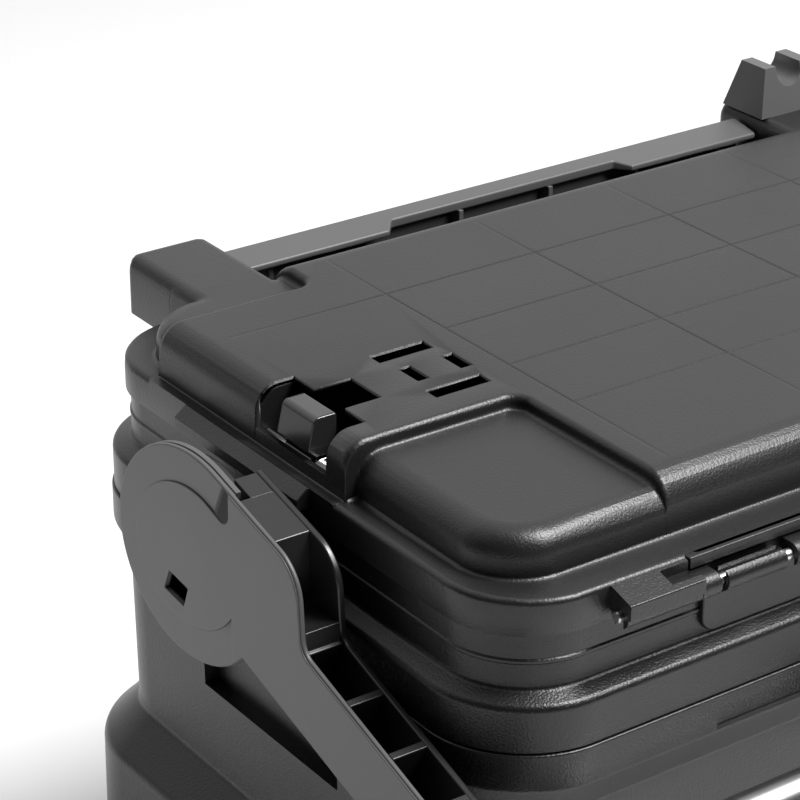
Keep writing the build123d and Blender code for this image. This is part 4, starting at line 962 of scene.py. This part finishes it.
def latch_paddle():
    """Left paddle: thumb piece between two cheeks, a barrel on the pin, and the leg with its nose"""
    front = [(-216.6, 349.4, 1), (-227.2, 349.4, 3), (-230.4, 335.6, 1), (-229.6, 334.7, 0.5)]
    cheek = outline([(-222, 332, 0.8), (-216.6, 341, 1), *front, (-226.9, 332.3, 0.5)])
    thumb = outline(
        [(-225.8, 331.4, 0.3), (-225.2, 345.0, 2), (-216.6, 346.4, 0.8), *front, (-226.9, 332.3, 0.3),
         (-226.4, 331.8, 0.3)], 8)
    leg = outline(
        [(-228.2, 299.3, 0.4), (-225.2, 318, 2), (-225.2, 337, 0.3), (-227.4, 337, 0.3), (-227.8, 319, 3),
         (-230.9, 309, 1), (-231.2, 299.3, 0.4)], 4)
    paddle = Shape().plate([thumb], -11.4, 11.4, 0.5, "XZ").plate([leg], -9.5, 9.5, 0.4, "XZ")
    for start in (-11.5, 10.1):
        paddle.plate([cheek], start, start + 1.4, 0.5, "XZ")
    return paddle.plate([circle(LATCH, 4, 40), circle(LATCH, 1.6, 24, hole=True)], -9.5, 9.5, 0.4, "XZ")


def latch_spring():
    """Left spring: eight turns round the pin, with a leg under the lid and a leg behind the paddle"""
    coil, out = helix(-12.4, -20.6, 3.1, 8, LATCH, 240)
    head = coil[0] + np.linspace(1, 0, 8)[:, None] * (9.0, 0, 0)
    foot = coil[-1] + np.linspace(0, 1, 8)[:, None] * (12.0, 0, 0)
    path = np.concatenate([head[:-1], coil, foot[1:]])
    away = np.concatenate([np.repeat(out[:1], 7, 0), out, np.repeat(out[-1:], 7, 0)])
    return tube(path, away, 0.43)


class SEATBOX_OT_latches(bpy.types.Operator):
    """Latch paddles with their thumb pieces, and wound springs"""

    bl_idname = "seatbox.latches"
    bl_label = "Latches"

    def execute(self, context):
        for hand in ("left", "right"):
            paddle, spring = latch_paddle(), latch_spring()
            if hand == "right":
                paddle.mirror()
                spring.mirror()
            paddle.object(
                f"paddle_{hand}", f"latch_{hand}", "latch_plastic", f"latch_paddle_{hand}", sharp=50)
            spring.object(f"spring_{hand}", "lid", "steel", f"latch_spring_{hand}", sharp=60)
        return {"FINISHED"}


# Pull bar: half length, then the line that its top falls away from and the height that this starts above
PULL_HALF, SCOOP_EDGE, SCOOP_FLOOR = 153.9, 171.5, 336


def scoop(points):
    """Top of the pull bar lowered towards the lid, by 3 in 14"""
    fall = np.clip(SCOOP_EDGE - points[:, 1], 0, None) * 3 / 14
    lowered = points.copy()
    lowered[:, 2] -= np.where(points[:, 2] > SCOOP_FLOOR, fall, 0)
    return lowered


class SEATBOX_OT_pull_bar(bpy.types.Operator):
    """Pull bar: scooped top, lever, barrel, ribs and noses"""

    bl_idname = "seatbox.pull_bar"
    bl_label = "Pull Bar"

    def execute(self, context):
        half = PULL_HALF
        top, _ = outline(
            [(-half, 157.5, 1.5), (-73, 157.5, 1), (-66.7, 165, 2), (66.7, 165, 2), (73, 157.5, 1),
             (half, 157.5, 1.5), (half, 175, 1.2), (-half, 175, 1.2)])
        bar = Shape().plate([free(top, 12.0)], 333.5, 339.5, 1.0).bend(scoop)
        lever = outline(
            [(172, 281, 2), (175, 293, 3), (175, 334.5, 0.3), (171.5, 334.5, 0.3), (171.5, 293, 3),
             (167, 281, 2)])
        bar.plate([lever], -half, half, 0.6, "YZ")
        bar.plate([circle(LEVER, 6, 40), circle(LEVER, 2.5, 24, hole=True)], -half, half, 0.6, "YZ")
        for x in np.arange(6) * 54.0 - 135:
            bar.box((x - 1.25, x + 1.25), (163.5, 172), (287, 334), 0.3)
        for x in (-96, 96):
            bar.box((x - 12, x + 12), (150.7, 172), (323.5, 328.5), 0.8)
        bar.object("pull_bar_moulding", "pull_bar", "arm_plastic", "pull_bar")
        return {"FINISHED"}


# Stage

FLOOR_HALF = 6.0

# Area lamps: name, place, aim, size and power
LAMPS = (
    ("key", (0.9, -0.7, 2.6), (0.1, 0.9, 0), 0.8, 82),
    ("strip", (0.25, -0.62, 1.15), (-0.12, -0.12, 0.34), 0.5, 9),
)

# Studio glow: brightest in this direction, dim on the other side
GLOW_FROM = (0.35, 0.78, 0.52)
GLOW_REACH = (-0.05, 0.95)
GLOW_STRENGTH = (0.02, 0.95)

CAMERA_PLACE, CAMERA_TURN, CAMERA_LIFT, CAMERA_LENS = (-0.7911, -0.8726, 0.8530), -35.1, 25.7, 130.5


def studio_world():
    """World light that rises smoothly with the direction's dot product with GLOW_FROM"""
    world = bpy.data.worlds.new("studio")
    world.use_nodes = True
    nodes, links = world.node_tree.nodes, world.node_tree.links
    way = nodes.new("ShaderNodeTexCoord")
    towards = nodes.new("ShaderNodeVectorMath")
    towards.operation = "DOT_PRODUCT"
    towards.inputs[1].default_value = GLOW_FROM
    links.new(way.outputs["Generated"], towards.inputs[0])
    glow = nodes.new("ShaderNodeMapRange")
    glow.interpolation_type = "SMOOTHSTEP"
    glow.inputs["From Min"].default_value, glow.inputs["From Max"].default_value = GLOW_REACH
    glow.inputs["To Min"].default_value, glow.inputs["To Max"].default_value = GLOW_STRENGTH
    links.new(towards.outputs["Value"], glow.inputs["Value"])
    links.new(glow.outputs["Result"], nodes["Background"].inputs["Strength"])
    nodes["Background"].inputs["Color"].default_value = (1, 1, 1, 1)
    return world


class SEATBOX_OT_stage(bpy.types.Operator):
    """Pale floor, soft studio light and the camera"""

    bl_idname = "seatbox.stage"
    bl_label = "Stage"

    def execute(self, context):
        scene = context.scene
        corners = [(x * FLOOR_HALF, y * FLOOR_HALF, 0) for x, y in ((-1, -1), (1, -1), (1, 1), (-1, 1))]
        mesh = bpy.data.meshes.new("floor")
        mesh.from_pydata(corners, [], [(0, 1, 2, 3)])
        mesh.materials.append(plastic("floor_paper", tuple(scene.seatbox_finish.floor), 0.9, change=0.003))
        floor = bpy.data.objects.new("floor", mesh)
        scene.collection.objects.link(floor)
        scene.world = studio_world()
        for name, place, aim, size, power in LAMPS:
            lamp = bpy.data.lights.new(name, "AREA")
            lamp.size = size
            lamp.energy = power
            light = bpy.data.objects.new(name, lamp)
            scene.collection.objects.link(light)
            light.location = place
            light.rotation_euler = (Vector(aim) - Vector(place)).to_track_quat("-Z", "Y").to_euler()
        lens = bpy.data.cameras.new("camera")
        lens.sensor_width = 36.0
        lens.lens = CAMERA_LENS
        lens.clip_end = 100.0
        camera = bpy.data.objects.new("camera", lens)
        scene.collection.objects.link(camera)
        turn, lift = np.radians(CAMERA_TURN), np.radians(CAMERA_LIFT)
        back = Vector((np.sin(turn) * np.cos(lift), -np.cos(turn) * np.cos(lift), np.sin(lift)))
        camera.rotation_euler = (-back).to_track_quat("-Z", "Y").to_euler()
        camera.location = CAMERA_PLACE
        scene.camera = camera
        scene.view_settings.view_transform = "Standard"
        return {"FINISHED"}


class SEATBOX_OT_finishes(bpy.types.Operator):
    """Plastics, rubber and steel, also given to the frame's own parts"""

    bl_idname = "seatbox.finishes"
    bl_label = "Finishes"

    def execute(self, context):
        tone = context.scene.seatbox_finish
        plastic("lid_plastic", tuple(tone.lid), 0.38, 0.14, 0.9)
        plastic("body_plastic", tuple(tone.body), 0.36, 0.16, 0.9)
        # The handle plastic's tone holds painted light from the floor as well as its own grey.
        plastic("arm_plastic", tuple(tone.handle), 0.42, 0.02, 0.8)
        # Darker copy of the handle plastic for the arms' inner webs: painted shade, for the shade the lid's
        # edge casts over them.
        plastic("web_plastic", (0.012, 0.012, 0.0125), 0.3, 0.02, 0.8)
        plastic("latch_plastic", (0.02, 0.02, 0.021), 0.18, coat=0.3)
        plastic("tray_plastic", (0.1, 0.1, 0.105), 0.5, 0.03, 1.0)
        plastic("rubber", (0.02, 0.02, 0.02), 0.7, 0.05, 1.5)
        metal("steel", (0.6, 0.6, 0.61), 0.28)
        for part in frame["record"]["subparts"]:
            mesh = frame["nodes"][part["node"]].data
            mesh.materials.clear()
            mesh.materials.append(FINISHES[part["material_slot"]])
        return {"FINISHED"}


# Add-on

OPERATORS = (
    SEATBOX_OT_finishes, SEATBOX_OT_lid, SEATBOX_OT_lid_fittings, SEATBOX_OT_rim, SEATBOX_OT_bucket,
    SEATBOX_OT_handle, SEATBOX_OT_latches, SEATBOX_OT_pull_bar, SEATBOX_OT_stage,
)
GROUPS = {"seatbox_lid": LidSettings, "seatbox_handle": HandleSettings, "seatbox_finish": FinishSettings}


class SEATBOX_PT_panel(bpy.types.Panel):
    """Sidebar panel with every size, colour and step of the box"""

    bl_idname = "SEATBOX_PT_panel"
    bl_label = "Seat Box"
    bl_space_type = "VIEW_3D"
    bl_region_type = "UI"
    bl_category = "Seat Box"

    def draw(self, context):
        for name, group in GROUPS.items():
            for setting in group.__annotations__:
                self.layout.prop(getattr(context.scene, name), setting)
        for step in OPERATORS:
            self.layout.operator(step.bl_idname)


def register():
    for group in GROUPS.values():
        bpy.utils.register_class(group)
    for step in (*OPERATORS, SEATBOX_PT_panel):
        bpy.utils.register_class(step)
    for name, group in GROUPS.items():
        setattr(bpy.types.Scene, name, bpy.props.PointerProperty(type=group))


def unregister():
    for name in GROUPS:
        delattr(bpy.types.Scene, name)
    for step in (SEATBOX_PT_panel, *reversed(OPERATORS)):
        bpy.utils.unregister_class(step)
    for group in GROUPS.values():
        bpy.utils.unregister_class(group)


def main():
    register()
    bpy.ops.seatbox.finishes()
    bpy.ops.seatbox.lid()
    bpy.ops.seatbox.lid_fittings()
    bpy.ops.seatbox.rim()
    bpy.ops.seatbox.bucket()
    bpy.ops.seatbox.handle()
    bpy.ops.seatbox.latches()
    bpy.ops.seatbox.pull_bar()
    bpy.ops.seatbox.stage()


if __name__ == "__main__":
    main()
